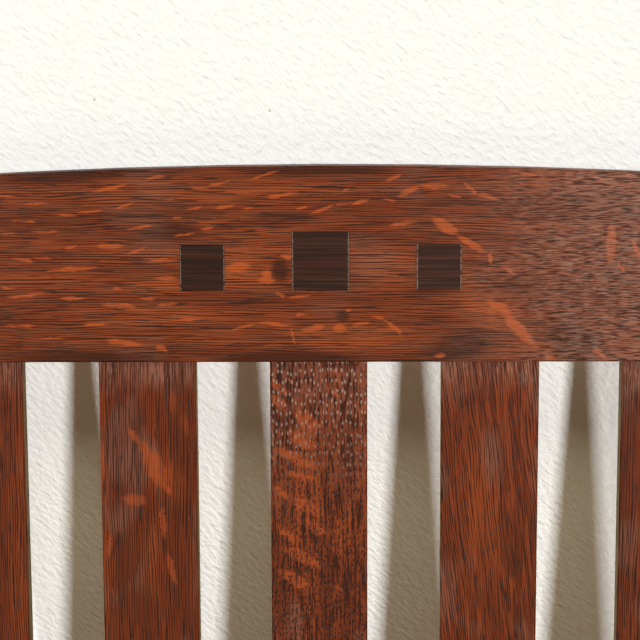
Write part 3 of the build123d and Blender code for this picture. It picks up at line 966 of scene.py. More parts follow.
@dataclass(frozen=True)
class LeatherFinish:
    """Dark brown upholstery leather, pebbled, mottled, creased with painted shade in the creases, and paler
    where it is rubbed.
    """

    name: str
    deep: Colour = srgb(64, 33, 21)
    face: Colour = srgb(90, 48, 29)
    rubbed: Colour = srgb(134, 80, 50)
    rubbed_share: float = 0.22
    pebble_cycle: float = 520.0
    mottle_cycles: Triple = (9.0, 9.0, 9.0)
    crease_cycles: Triple = (26.0, 60.0, 40.0)
    crease_wide: float = 0.035
    crease_shade_share: float = 0.35
    gloss: float = 0.4
    depth: float = 0.0004

    def material(self) -> bpy.types.Material:
        """The finish as a material.

        Returns:
            The material.
        """
        shader = Shader(self.name)
        place = shader.object_place()
        pebbles = shader.node("TexVoronoi", feature="SMOOTH_F1")
        shader.feed(pebbles.inputs["Vector"], place)
        pebbles.inputs["Scale"].default_value = self.pebble_cycle
        pebble = pebbles.outputs["Distance"]
        mottle = shader.noise(place, self.mottle_cycles, detail=4.0, rough=0.6)
        colour = shader.blend(shader.step(mottle, 0.35, 0.68), self.deep, self.face)
        creases = shader.noise(place, self.crease_cycles, detail=3.0, twist=1.2)
        off_middle = shader.calc("ABSOLUTE", shader.calc("SUBTRACT", creases, NOISE_MIDDLE))
        crease = shader.step(off_middle, 0.0, self.crease_wide, 1.0, 0.0)
        # Painted shade: the creases are darkened towards the deep colour.
        colour = shader.blend(shader.calc("MULTIPLY", crease, self.crease_shade_share), colour, self.deep)
        colour = shader.blend(shader.step(pebble, 0.45, 0.15, 0.0, self.rubbed_share), colour, self.rubbed)
        domes = shader.calc("MULTIPLY", pebble, -0.4)
        height = shader.calc("SUBTRACT", domes, shader.calc("MULTIPLY", crease, 0.6))
        return shader.surface(Base_Color=colour, Roughness=shader.step(mottle, *NOISE_SPAN, 0.48, 0.36),
                              Specular_IOR_Level=self.gloss, Normal=shader.bump(height, self.depth, 0.8))


@dataclass(frozen=True)
class ThreadFinish:
    """Waxed thread, twisted, a little paler than the leather."""

    name: str = "waxed_thread"
    dark: Colour = srgb(112, 76, 46)
    light: Colour = srgb(164, 122, 80)
    twist_cycles: Triple = (1500.0, 1500.0, 1500.0)
    depth: float = 0.0002

    def material(self) -> bpy.types.Material:
        """The finish as a material.

        Returns:
            The material.
        """
        shader = Shader(self.name)
        twist = shader.noise(shader.object_place(), self.twist_cycles, detail=1.0)
        colour = shader.blend(shader.step(twist, 0.35, 0.65), self.dark, self.light)
        return shader.surface(Base_Color=colour, Roughness=shader.step(twist, *NOISE_SPAN, 0.6, 0.5),
                              Normal=shader.bump(twist, self.depth))


@dataclass(frozen=True)
class SteelFinish:
    """Plated steel, brushed by the driver and dulled."""

    name: str = "screw_steel"
    dark: Colour = srgb(124, 118, 108)
    light: Colour = srgb(176, 170, 160)
    scratch_cycles: Triple = (900.0, 2200.0, 900.0)
    depth: float = 0.00005

    def material(self) -> bpy.types.Material:
        """The finish as a material.

        Returns:
            The material.
        """
        shader = Shader(self.name)
        scratch = shader.noise(shader.object_place(), self.scratch_cycles, detail=2.0)
        colour = shader.blend(shader.step(scratch, *NOISE_SPAN), self.dark, self.light)
        roughness = shader.step(scratch, *NOISE_SPAN, 0.45, 0.28)
        return shader.surface(Base_Color=colour, Metallic=1.0, Roughness=roughness,
                              Normal=shader.bump(scratch, self.depth))


@dataclass(frozen=True)
class WebbingFinish:
    """Tan jute webbing in a plain weave, fibrous and dull."""

    name: str
    along: int
    dark: Colour = srgb(112, 86, 56)
    light: Colour = srgb(190, 162, 118)
    yarn: float = 0.0022
    weave_share: float = 0.3
    fibre_cycles: Triple = (500.0, 500.0, 500.0)
    depth: float = 0.0004

    def material(self) -> bpy.types.Material:
        """The finish as a material.

        The weave is the product of a sine along the straps and one across them.

        Returns:
            The material.
        """
        shader = Shader(self.name)
        place = shader.object_place()
        parts = shader.separate(place)
        turns = math.tau / self.yarn
        warp = shader.calc("SINE", shader.calc("MULTIPLY", parts[self.along], turns))
        weft = shader.calc("SINE", shader.calc("MULTIPLY", parts[1 - self.along], turns))
        fibre = shader.noise(place, self.fibre_cycles, detail=2.0)
        weave = shader.calc("MULTIPLY", shader.calc("MULTIPLY", warp, weft), self.weave_share)
        knit = shader.calc("ADD", weave, fibre)
        colour = shader.blend(shader.step(knit, 0.25, 0.8), self.dark, self.light)
        return shader.surface(Base_Color=colour, Roughness=shader.step(knit, 0.2, 0.8, 0.95, 0.8),
                              Normal=shader.bump(knit, self.depth))


@dataclass(frozen=True)
class GlideFinish:
    """Dark nylon, finely moulded and scuffed."""

    name: str = "glide_nylon"
    colour: Colour = srgb(58, 50, 46)
    scuffed: Colour = srgb(92, 84, 78)
    scuff_cycles: Triple = (160.0, 160.0, 160.0)

    def material(self) -> bpy.types.Material:
        """The finish as a material.

        Returns:
            The material.
        """
        shader = Shader(self.name)
        scuff = shader.noise(shader.object_place(), self.scuff_cycles, detail=3.0)
        colour = shader.blend(shader.step(scuff, 0.5, 0.75), self.colour, self.scuffed)
        return shader.surface(Base_Color=colour, Roughness=shader.step(scuff, *NOISE_SPAN, 0.42, 0.6))


CREST_FLAKES = tuple(Flake(*row) for row in (
    (-201, 108, 13, 1.8, -5), (-182, 103, 19, 1.6, 1), (-163, 96, 16, 1.6, 1), (-148, 98, 18, 2.2, 3),
    (-135, 113, 28, 2.6, 13), (-125, 102, 15, 2.0, 18), (-190, 92, 19, 1.5, -4), (-202, 84, 12, 1.8, 0),
    (-177, 85, 18, 1.8, 0), (-161, 75, 9, 2.2, 15), (-135, 76, 21, 4.0, 2), (-118, 73, 17, 2.0, 22),
    (-192, 67, 16, 3.0, -9), (-179, 68, 15, 2.4, -2), (-160, 61, 37, 2.6, 4), (-102, 67, 20, 1.8, 1),
    (-100, 55, 18, 2.6, 0), (-131, 48, 8, 1.6, 0), (-202, 49, 11, 1.8, 0), (-190, 44, 34, 2.0, 6),
    (-161, 42, 21, 2.6, 2), (-130, 37, 27, 4.0, -5), (-112, 42, 13, 2.0, 0), (-99, 38, 15, 2.6, 3),
    (-195, 24, 23, 2.0, 0), (-146, 25, 17, 2.4, 3), (-87, 28, 24, 2.2, 2), (-175, 16, 19, 1.8, -1),
    (-127, 13, 27, 4.2, -7), (-103, 9, 10, 4.4, -20), (-105, 120, 15, 2.0, 8), (-77, 113, 15, 2.4, 2),
    (-96, 106, 9, 1.8, 0), (-81, 100, 12, 2.0, 10), (-92, 94, 7, 1.8, 0), (-115, 88, 22, 1.8, 9),
    (-87, 83, 16, 2.2, 8), (-73, 87, 9, 2.4, 3), (-64, 116, 17, 2.2, 10), (-36, 121, 23, 2.0, 18),
    (-26, 108, 27, 2.4, 8), (-61, 101, 15, 2.0, 9), (-46, 100, 9, 2.0, 10), (-12, 100, 9, 2.2, 14),
    (1, 99, 18, 2.8, 20), (14, 102, 9, 1.6, 0), (26, 104, 13, 2.6, 14), (17, 112, 5, 1.6, 15),
    (44, 105, 10, 2.6, -8), (47, 119, 12, 3.0, 18), (57, 111, 17, 4.8, 24), (53, 90, 19, 3.0, 8),
    (-53, 62, 19, 7.0, 8), (-35, 57, 8, 7.0, 0), (-35, 53, 13, 4.0, 0), (-22, 69, 9, 3.2, -18),
    (-26, 44, 8, 2.6, -15), (-13, 43, 16, 2.8, 4), (-50, 23, 18, 2.4, 14), (-31, 25, 24, 2.4, -5),
    (-18, 17, 13, 2.0, -76), (-5, 22, 18, 4.6, 8), (12, 22, 10, 7.0, 0), (26, 25, 14, 3.2, 10),
    (37, 29, 10, 2.4, -12), (47, 23, 18, 3.2, -40), (-13, 31, 7, 2.0, 0), (18, 34, 6, 2.4, 20),
    (72, 114, 24, 4.6, 2), (96, 112, 13, 2.6, -42), (107, 107, 17, 2.8, -12), (86, 107, 10, 2.8, -12),
    (133, 121, 13, 2.4, -10), (80, 88, 22, 8.6, -34), (96, 77, 24, 5.6, -30), (109, 67, 9, 3.0, -82),
    (121, 59, 9, 2.8, -32), (115, 36, 22, 6.4, -28), (128, 21, 34, 8.6, -47), (186, 77, 30, 8.0, 88),
    (193, 61, 10, 2.2, -52), (203, 72, 18, 4.0, -62), (180, 5, 13, 4.0, -34), (148, 3, 9, 2.6, -20),
    (77, 4, 9, 4.0, 10)))
CREST_GLOWS = tuple(Flake(*row) for row in (
    (-55, 60, 80, 40), (42, 60, 60, 40), (-100, 50, 90, 16), (-120, 30, 160, 22), (-40, 82, 80, 14),
    (100, 40, 90, 40, -30), (20, 16, 120, 26), (-60, 94, 70, 10, 8)))
CREST_SHADES = tuple(Flake(*row) for row in (
    (-150, 1, 150, 18), (-20, 2, 130, 14), (90, 10, 60, 24, 10), (165, 12, 60, 34, -30), (14, 30, 11, 10),
    (-26, 60, 14, 20), (-160, 122, 120, 14, 4), (0, 124, 130, 8), (-95, 85, 50, 16)))
SLAT_FLAKES = {
    5: tuple(Flake(*row) for row in (
        (-9, -50, 14, 5, -58), (-1, -61, 20, 9, -60), (4, -71, 34, 15, -66), (11, -84, 14, 5, -58),
        (-10, -93, 19, 9, -6), (-30.5, -69, 34, 3, 90), (8.5, -108, 26, 4.5, -85), (-27, -124, 20, 3, 84),
        (14, -140, 26, 5, -78))),
    6: tuple(Flake(*row) for row in (
        (-25, -18, 18, 6, -30), (-26, -27, 14, 7, -40), (-7, -40, 24, 11, -34), (-11, -53, 27, 9, -32),
        (-16, -64, 34, 9, -25), (-11, -77, 26, 6, -16), (-8, -97, 30, 10, -28), (-25, -88, 14, 6, -40),
        (-3, -111, 20, 9, -32), (-20, -117, 18, 7, -30), (-12, -131, 32, 9, -28), (-16, -147, 28, 9, -30))),
}
SLAT_GLOWS = {
    5: tuple(Flake(*row) for row in (
        (3, -5, 18, 6), (11, -11, 10, 8, -80), (16, -25, 26, 15, -76), (24, -42, 22, 8, -78),
        (8, -75, 60, 30, -70), (0, -130, 70, 20, 88))),
    6: tuple(Flake(*row) for row in (
        (-10, -80, 170, 56, 86), (16, -110, 90, 24, 88))),
    7: tuple(Flake(*row) for row in (
        (-4, -100, 150, 44, -84), (10, -10, 40, 20, 88))),
}


def dress(node: str, material: bpy.types.Material) -> None:
    """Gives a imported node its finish.

    Args:
        node: the node's name.
        material: the finish.
    """
    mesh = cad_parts[node].data
    mesh.materials.clear()
    mesh.materials.append(material)


def middle_x(node: str) -> float:
    """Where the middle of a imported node's box lies along X, in metres."""
    low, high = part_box(node)
    return (low[0] + high[0]) / 2


class Slat(Enum):
    """Back slats with looks of their own, by their place in each set of five."""

    DASHED = 1
    SLANTING = 2


@dataclass
class SettleBack:
    """The leaning back: crest, slats, pegs and lower rail. Heights are in the back's own frame."""

    slat_count: int = 11
    set_count: int = 5
    seed_step: float = 0.713
    crest_low: float = 0.427
    peg_tones: tuple[tuple[str, float], ...] = (("left", 0.51), ("centre", 0.60), ("right", 0.69))

    def crest_finish(self) -> OakFinish:
        """The crest's oak, with the flakes of its face in their places and a painted sheen on its right end.

        Returns:
            The finish.
        """
        # Painted sheen and glints over the crest's right end, standing in for the right lamp's reflection.
        painted_sheen = PaintedSheen(0, clear=0.06, full=0.19, strength=0.5, painted_glints=0.22, dash=0.008, last=0.30, gone=0.44)
        return OakFinish("crest", Grain.SIDEWAYS, leaning=True, face_from=(0.0, self.crest_low), painted_sheen=painted_sheen,
                         flakes=CREST_FLAKES, glows=CREST_GLOWS, shades=CREST_SHADES, fleck_bare=0.20)

    def slat_finish(self, number: int) -> OakFinish:
        """A back slat's oak, each cut from another place in the board.

        Args:
            number: the slat's number, from 1 at the left.

        Returns:
            Its finish.
        """
        low = self.crest_low
        # Painted sheen and glints at the slats' tops, just under the crest, standing in for a reflection.
        painted_sheen = PaintedSheen(2, clear=low - 0.026, full=low - 0.001, strength=0.42, painted_glints=0.22)
        plain = OakFinish(f"slat_{number:02d}", Grain.UPRIGHT, leaning=True, seed=number * self.seed_step,
                          painted_sheen=painted_sheen, fleck_cover=0.74, dark=srgb(66, 30, 18), mid=srgb(128, 56, 28),
                          light=srgb(158, 74, 35), fleck=srgb(180, 82, 38), sheen_share=0.5,
                          face_from=(middle_x(f"back_slat_{number:02d}"), low),
                          flakes=SLAT_FLAKES.get(number, ()), glows=SLAT_GLOWS.get(number, ()))
        place = number % self.set_count
        if place == Slat.DASHED.value:
            # The dashed slat's painted sheen reaches further down, with more painted glints.
            dashed = replace(painted_sheen, clear=low - 0.105, strength=0.22, painted_glints=0.62, dash=0.010)
            return replace(plain, painted_sheen=dashed, pore_long=0.0045, pore_wide=0.0012, pore_cover=0.60,
                           pore_depth=0.0002, line_long=0.020, line_wide=0.0014, ripple_share=0.2,
                           dashes=Dashes(0.0068, 0.0031), fleck_turn=math.radians(-52),
                           fleck_cover=0.70, fleck_wide=0.006, fleck_long=0.02, fleck_share=0.8,
                           fleck_cover_pores=0.15)
        if place == Slat.SLANTING.value:
            return replace(plain, fleck_long=0.030, fleck_wide=0.0026, fleck_cover=0.56,
                           fleck_share=0.36, slope=0.10, wander=0.003, wander_long=0.06,
                           line_long=0.03)
        return plain

    def build(self) -> None:
        """Dresses the back's pieces."""
        dress("crest_rail", self.crest_finish().material())
        dress("lower_back_rail", OakFinish("lower_rail", Grain.SIDEWAYS, leaning=True, seed=3.1).material())
        for number in range(1, self.slat_count + 1):
            dress(f"back_slat_{number:02d}", self.slat_finish(number).material())
        for place, tone in self.peg_tones:
            node = f"crest_peg_{place}"
            low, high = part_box(node)
            dress(node, PegFinish(place, middle_x(node), (high[0] - low[0]) / 2, tone).material())
        dress("joint_pegs", PegFinish("joints").material())
        log.info("back dressed")


@dataclass
class SettleFrame:
    """The posts, rails, arms and underframe."""

    sides: tuple[str, str] = ("left", "right")
    side_slat_count: int = 5

    def build(self) -> None:
        """Dresses the frame's pieces."""
        posts = OakFinish("posts", Grain.UPRIGHT, seed=1.7)
        rails = OakFinish("rails", Grain.SIDEWAYS, seed=5.3)
        sides = OakFinish("side_rails", Grain.DEEP, seed=2.9)
        slats = OakFinish("side_slats", Grain.UPRIGHT, seed=8.1)
        arms = OakFinish("arms", Grain.DEEP, seed=6.6)
        upright = posts.material()
        sideways = rails.material()
        deep = sides.material()
        slat = slats.material()
        arm = arms.material()
        bare_long = BareWoodFinish("long", Grain.SIDEWAYS).material()
        bare_deep = BareWoodFinish("deep", Grain.DEEP).material()
        for side in self.sides:
            for name in ("front_post", "back_post", "corbel_front", "corbel_back"):
                dress(f"{name}_{side}", upright)
            for name in ("side_seat_rail", "side_bottom_rail", "arm_rail"):
                dress(f"{name}_{side}", deep)
            dress(f"arm_{side}", arm)
            for number in range(1, self.side_slat_count + 1):
                dress(f"side_slat_{side}_{number}", slat)
            dress(f"seat_frame_{side}", bare_deep)
        for name in ("front_seat_rail", "back_seat_rail"):
            dress(name, sideways)
        for name in ("cleat_front", "cleat_back", "corner_blocks", "seat_frame_front", "seat_frame_back"):
            dress(name, bare_long)
        for name in ("side_cleats", "seat_bearers", "seat_frame_cross"):
            dress(name, bare_deep)
        dress("foot_glides", GlideFinish().material())
        log.info("frame dressed")


def new_piece(name: str, points: np.ndarray, faces: list, body: str,
              material: bpy.types.Material) -> bpy.types.Object:
    """Makes a scene piece that rides on a body.

    Args:
        name: the piece's name.
        points: its vertices, one row each, in metres.
        faces: its faces.
        body: the body that it rides on.
        material: its finish.

    Returns:
        The new object, shaded smooth.
    """
    mesh = bpy.data.meshes.new(name)
    mesh.from_pydata(points.tolist(), [], [tuple(map(int, face)) for face in faces])
    mesh.materials.append(material)
    mesh.shade_smooth()
    mesh.update()
    piece = bpy.data.objects.new(name, mesh)
    bpy.context.scene.collection.objects.link(piece)
    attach(piece, body)
    return piece


def grid_faces(rows: int, columns: int, round_rows: bool, round_columns: bool) -> np.ndarray:
    """Quads over a grid of vertices, row by row.

    Args:
        rows: how many rows there are.
        columns: how many vertices a row has.
        round_rows: whether the last row joins the first.
        round_columns: whether each row's end joins its start.

    Returns:
        One quad per line.
    """
    i, j = np.meshgrid(np.arange(rows if round_rows else rows - 1),
                       np.arange(columns if round_columns else columns - 1), indexing="ij")
    down = (i + 1) % rows
    along = (j + 1) % columns
    corners = [i * columns + j, down * columns + j, down * columns + along, i * columns + along]
    return np.stack(corners, axis=-1).reshape(-1, 4)


def tube(path: np.ndarray, radius: float, closed: bool, sides: int = 10) -> tuple[np.ndarray, list]:
    """A round tube along a path that stays nearly level or nearly straight.

    Each ring lies across the path's direction there: its sideways axis is the direction crossed
    with upward, and its other axis is sideways crossed with the direction.

    Args:
        path: the points of its middle line.
        radius: its radius.
        closed: whether the path's end joins its start.
        sides: vertices in a ring.

    Returns:
        The vertices and faces, with flat caps where it is open.
    """
    ahead = np.roll(path, -1, axis=0) - np.roll(path, 1, axis=0)
    if not closed:
        ahead[0] = path[1] - path[0]
        ahead[-1] = path[-1] - path[-2]
    ahead /= np.linalg.norm(ahead, axis=1, keepdims=True)
    side = np.cross(ahead, (0.0, 0.0, 1.0))
    side /= np.linalg.norm(side, axis=1, keepdims=True)
    rise = np.cross(side, ahead)
    turn = np.linspace(0.0, math.tau, sides, endpoint=False)[None, :, None]
    points = path[:, None, :] + radius * (np.cos(turn) * side[:, None, :] + np.sin(turn) * rise[:, None, :])
    faces = grid_faces(len(path), sides, closed, True).tolist()
    if not closed:
        faces.append(list(range(sides))[::-1])
        faces.append([(len(path) - 1) * sides + number for number in range(sides)])
    return points.reshape(-1, 3), faces


@dataclass
class SeatPad:
    """The drop-in seat's leather pad, blown up by cloth simulation between its seams.

    It has piping round it and along its cross seams, stitches beside those, and a strip of the
    same leather over the edge of the seat's frame. Lengths are metres.
    """

    inset: float = 0.0005
    grid: tuple[int, int] = (97, 61)
    corner_power: float = 14.0
    shoulder: float = 0.024
    rim_share: float = 0.6
    crown: float = 0.006
    voxel: float = 0.009
    puff: float = 4.0
    frames: int = 20
    reach: float = 0.008
    rise_share: float = 0.6
    room: float = 0.0015
    held_high: float = 0.003
    held_share: float = 0.6
    piping: float = 0.0042
    piping_share: float = 0.42
    piping_points: int = 420
    cross_share: float = 0.8
    cross_lift: float = 0.35
    cross_inset: float = 0.004
    cross_points: int = 120
    seam_shares: Pair = (-1 / 3, 1 / 3)
    seam_pull: float = 0.0045
    seam_soft: float = 0.012
    seam_deep: float = 0.03
    stitch_pitch: float = 0.0065
    stitch_long: float = 0.0042
    stitch_thick: float = 0.0005
    stitch_off: float = 0.0085
    stitch_inset: float = 0.02
    stitch_sides: int = 6
    look_in_share: float = 0.1
    look_down: float = 0.1
    wrap_reach: float = 0.022
    wrap_drop: float = 0.0185
    wrap_thick: float = 0.0010
    wrap_room: float = 0.0003
    wrap_points: int = 5

    def start_mesh(self) -> bpy.types.Object:
        """The plain pad that the simulation starts from.

        The outline is a square grid pulled onto a superellipse. The height over it is the quarter
        of a circle at the shoulder, plus a crown that falls off with the square of the distance
        from the middle on each side.

        Returns:
            The pad, closed, at its node's place.
        """
        low, high = (np.array(corner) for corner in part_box("seat_pad"))
        middle = (low + high) / 2
        half = (high - low) / 2 - self.inset
        rows, columns = self.grid
        across = np.linspace(-1.0, 1.0, rows)
        deep = np.linspace(-1.0, 1.0, columns)
        u, v = (part.ravel() for part in np.meshgrid(across, deep, indexing="ij"))
        largest = np.maximum(np.abs(u), np.abs(v))
        power = self.corner_power
        rounding = np.divide(largest, (np.abs(u) ** power + np.abs(v) ** power) ** (1 / power),
                             out=np.ones_like(largest), where=largest > 0)
        x = half[0] * u * rounding
        y = half[1] * v * rounding
        edge = np.minimum(half[0] * (1 - np.abs(u)), half[1] * (1 - np.abs(v)))
        arc = np.sqrt(1 - (1 - np.clip(edge / self.shoulder, 0.0, 1.0)) ** 2)
        rim = self.shoulder * self.rim_share
        base = high[2] - low[2] - self.crown - rim - self.reach * self.rise_share
        top = low[2] + rim + base * arc + self.crown * (1 - u ** 2) * (1 - v ** 2)
        upper = np.stack([x, y, top], axis=1) + (middle[0], middle[1], 0.0)
        lower = np.stack([x, y, np.full_like(x, low[2])], axis=1) + (middle[0], middle[1], 0.0)
        count = len(x)
        faces = grid_faces(rows, columns, False, False)
        number = np.arange(count).reshape(rows, columns)
        rim_line = np.concatenate([number[:-1, 0], number[-1, :-1], number[:0:-1, -1], number[0, :0:-1]])
        after = np.roll(rim_line, -1)
        sides = np.stack([rim_line, after, after + count, rim_line + count], axis=1)
        quads = np.concatenate([faces[:, ::-1], faces + count, sides])
        return new_piece("pad", np.concatenate([upper, lower]), quads.tolist(), "seat",
                         LeatherFinish("seat_leather").material())

    def seam_places(self) -> list[float]:
        """Where the cross seams lie along X."""
        low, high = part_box("seat_pad")
        return [(high[0] + low[0]) / 2 + share * (high[0] - low[0]) / 2 for share in self.seam_shares]

    def simulate(self, pad: bpy.types.Object) -> None:
        """Blows the pad up and keeps the result.

        The underside and the seams are pinned. A point moves by no more than the set reach, stays
        inside the seat's opening and never sinks below the underside.

        Args:
            pad: the pad.
        """
        bpy.context.view_layer.objects.active = pad
        remesh = pad.modifiers.new("remesh", "REMESH")
        remesh.mode = "VOXEL"
        remesh.voxel_size = self.voxel
        bpy.ops.object.modifier_apply(modifier=remesh.name)
        mesh = pad.data
        flat = np.empty(len(mesh.vertices) * 3)
        mesh.vertices.foreach_get("co", flat)
        start = flat.reshape(-1, 3).copy()
        low, high = (np.array(corner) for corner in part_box("seat_pad"))
        for place in self.seam_places():
            near = np.exp(-((start[:, 0] - place) / self.seam_soft) ** 2)
            start[:, 2] -= self.seam_pull * near * np.clip((start[:, 2] - low[2]) / self.seam_deep, 0.0, 1.0)
        mesh.vertices.foreach_set("co", start.ravel())
        held = start[:, 2] < low[2] + self.held_high
        for place in self.seam_places():
            held |= np.abs(start[:, 0] - place) < self.voxel * self.held_share
        pins = pad.vertex_groups.new(name="pins")
        pins.add(np.flatnonzero(held).tolist(), 1.0, "REPLACE")
        cloth = pad.modifiers.new("cloth", "CLOTH")
        cloth.settings.vertex_group_mass = "pins"
        cloth.settings.use_pressure = True
        cloth.settings.uniform_pressure_force = self.puff
        cloth.settings.effector_weights.gravity = 0.0
        cloth.point_cache.frame_start = 1
        cloth.point_cache.frame_end = self.frames
        for number in range(1, self.frames + 1):
            bpy.context.scene.frame_set(number)
        bpy.ops.object.modifier_apply(modifier=cloth.name)
        bpy.context.scene.frame_set(1)
        mesh = pad.data
        mesh.vertices.foreach_get("co", flat)
        moved = flat.reshape(-1, 3) - start
        far = np.linalg.norm(moved, axis=1, keepdims=True)
        capped = start + moved * np.minimum(1.0, self.reach / np.maximum(far, 1e-9))
        capped[:, 0] = np.clip(capped[:, 0], low[0] - self.room, high[0] + self.room)
        capped[:, 1] = np.clip(capped[:, 1], low[1] - self.room, high[1] + self.room)
        capped[:, 2] = np.maximum(capped[:, 2], low[2])
        mesh.vertices.foreach_set("co", capped.ravel())
        mesh.shade_smooth()
        mesh.update()
        smooth = pad.modifiers.new("smooth", "SUBSURF")
        smooth.levels = 1
        smooth.render_levels = 1
        log.info("pad has %d vertices and rose by up to %.1f mm", len(mesh.vertices),
                 float(moved[:, 2].max()) * 1000)

    def surface_finder(self, pad: bpy.types.Object) -> BVHTree:
        """A search tree of the pad as it will be shown.

        Args:
            pad: the pad.

        Returns:
            The tree.
        """
        bpy.context.view_layer.update()
        return BVHTree.FromObject(pad, bpy.context.evaluated_depsgraph_get())

    def outline(self, finder: BVHTree, height: float, count: int) -> np.ndarray:
        """The pad's outline at a height, found by looking inward all round.

        Each look starts outside the pad's box and aims at the nearest place on the line that
        runs down the pad's middle, as far from its ends as from its sides.

        Args:
            finder: the pad's search tree.
            height: the height to look at.
            count: how many points to find.

        Returns:
            The points, in order, evened by a short running mean.
        """
        low, high = (np.array(corner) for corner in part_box("seat_pad"))
        middle = (low + high) / 2
        half = ((high - low) / 2)[:2]
        spare = half[0] - half[1]
        found = []
        for share in np.arange(count) / count:
            x, y = self.on_rectangle(share * 4 * (half[0] + half[1]), half)
            start = np.array((x, y, 0.0)) * (1 + self.look_in_share)
            aim = np.array((min(max(x, -spare), spare), 0.0, 0.0)) - start
            place = Vector((middle[0] + start[0], middle[1] + start[1], height))
            hit = finder.ray_cast(place, Vector(aim).normalized())[0]
            if hit is not None:
                found.append(tuple(hit))
        line = np.array(found)
        for _ in range(3):
            line = (np.roll(line, 1, axis=0) + line * 2 + np.roll(line, -1, axis=0)) / 4
        return line

    @staticmethod
    def on_rectangle(around: float, half: np.ndarray) -> Pair:
        """A point on a rectangle about the origin.

        Args:
            around: the way round it from its lower left corner, anticlockwise.
            half: half its width and half its depth.

        Returns:
            The point's two coordinates.
        """
        wide, deep = half * 2
        if around < wide:
            return around - half[0], -half[1]
        if around < wide + deep:
            return half[0], around - wide - half[1]
        if around < 2 * wide + deep:
            return half[0] - (around - wide - deep), half[1]
        return -half[0], half[1] - (around - 2 * wide - deep)

    def build(self) -> None:
        """Makes the pad, its piping, its stitches and its wrap."""
        pad = self.start_mesh()
        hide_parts("seat_pad")
        self.simulate(pad)
        finder = self.surface_finder(pad)
        low, high = (np.array(corner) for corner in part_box("seat_pad"))
        height = low[2] + self.piping_share * (high[2] - low[2])
        trim = LeatherFinish("piping_leather", deep=srgb(44, 23, 16), face=srgb(82, 44, 28),
                             rubbed=srgb(120, 72, 46)).material()
        rim = self.outline(finder, height, self.piping_points)
        points, faces = tube(rim, self.piping, True)
        new_piece("piping_rim", points, faces, "seat", trim)
        stitches = []
        above = high[2] + self.look_down
        for number, place in enumerate(self.seam_places(), 1):
            rows = []
            for y in np.linspace(low[1] + self.cross_inset, high[1] - self.cross_inset, self.cross_points):
                hit = finder.ray_cast(Vector((place, y, above)), Vector((0.0, 0.0, -1.0)))[0]
                if hit is not None and hit.z > height:
                    rows.append((place, hit.y, hit.z + self.piping * self.cross_lift))
            points, faces = tube(np.array(rows), self.piping * self.cross_share, False)
            new_piece(f"piping_cross_{number}", points, faces, "seat", trim)
            for shift in (-self.stitch_off, self.stitch_off):
                stitches.append(self.stitch_line(finder, place + shift, low, high, height))
        self.sew(np.concatenate(stitches))
        self.build_wrap()
        log.info("pad, piping, stitches and wrap built")

    def build_wrap(self) -> None:
        """The strip of leather that is drawn down over the edge of the seat's frame, all round.

        Its section runs out over the frame's top, round the edge in a quarter circle and down the
        outside, and comes back a leather's thickness further in. It is carried round the frame:
        at each offset from the frame's rectangle a ring of four straight sides joined by quarter
        circles.
        """
        low = np.array(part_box("seat_frame_front")[0])
        high = np.array(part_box("seat_frame_back")[1])
        middle = (low + high) / 2
        half = (high - low) / 2
        bend = np.radians((90.0, 60.0, 30.0, 0.0))
        back = bend[::-1]
        inner = self.wrap_room
        outer = inner + self.wrap_thick
        drop = -self.wrap_drop
        outside = [(-self.wrap_reach, outer), *zip(outer * np.cos(bend), outer * np.sin(bend)),
                   (outer, drop)]
        hem = [((inner + outer) / 2, drop - self.wrap_thick / 2)]
        inside = [(inner, drop), *zip(inner * np.cos(back), inner * np.sin(back)), (-self.wrap_reach, inner)]
        section = np.array(outside + hem + inside)
        offset, rise = section[:, :1], section[:, 1:]
        corner = np.linspace(0.0, 90.0, self.wrap_points)
        turn = np.radians(corner[None, :] + np.arange(0.0, 360.0, 90.0)[:, None]).ravel()
        side_x = np.repeat((1.0, -1.0, -1.0, 1.0), self.wrap_points)
        side_y = np.repeat((1.0, 1.0, -1.0, -1.0), self.wrap_points)
        radius = np.maximum(offset, inner)
        x = middle[0] + side_x * (half[0] + offset - radius) + radius * np.cos(turn)
        y = middle[1] + side_y * (half[1] + offset - radius) + radius * np.sin(turn)
        points = np.stack([x, y, high[2] + rise + np.zeros_like(x)], axis=2).reshape(-1, 3)
        faces = grid_faces(len(section), len(turn), True, True).tolist()
        wrap = new_piece("wrap", points, faces, "seat", LeatherFinish("wrap_leather").material())

    def stitch_line(self, finder: BVHTree, x: float, low: np.ndarray, high: np.ndarray,
                    height: float) -> np.ndarray:
        """Start and end of each stitch in a row beside a cross seam.

        Args:
            finder: the pad's search tree.
            x: where the row lies along X.
            low: the pad's box's low corner.
            high: its high corner.
            height: the height that the row stays above.

        Returns:
            One row per stitch: its start and its end.
        """
        down = Vector((0.0, 0.0, -1.0))
        rows = []
        for y in np.arange(low[1] + self.stitch_inset, high[1] - self.stitch_inset, self.stitch_pitch):
            ends = [finder.ray_cast(Vector((x, y + step, high[2] + self.look_down)), down)[0]
                    for step in (0.0, self.stitch_long)]
            if all(end is not None and end.z > height for end in ends):
                rows.append([tuple(end) for end in ends])
        return np.array(rows)

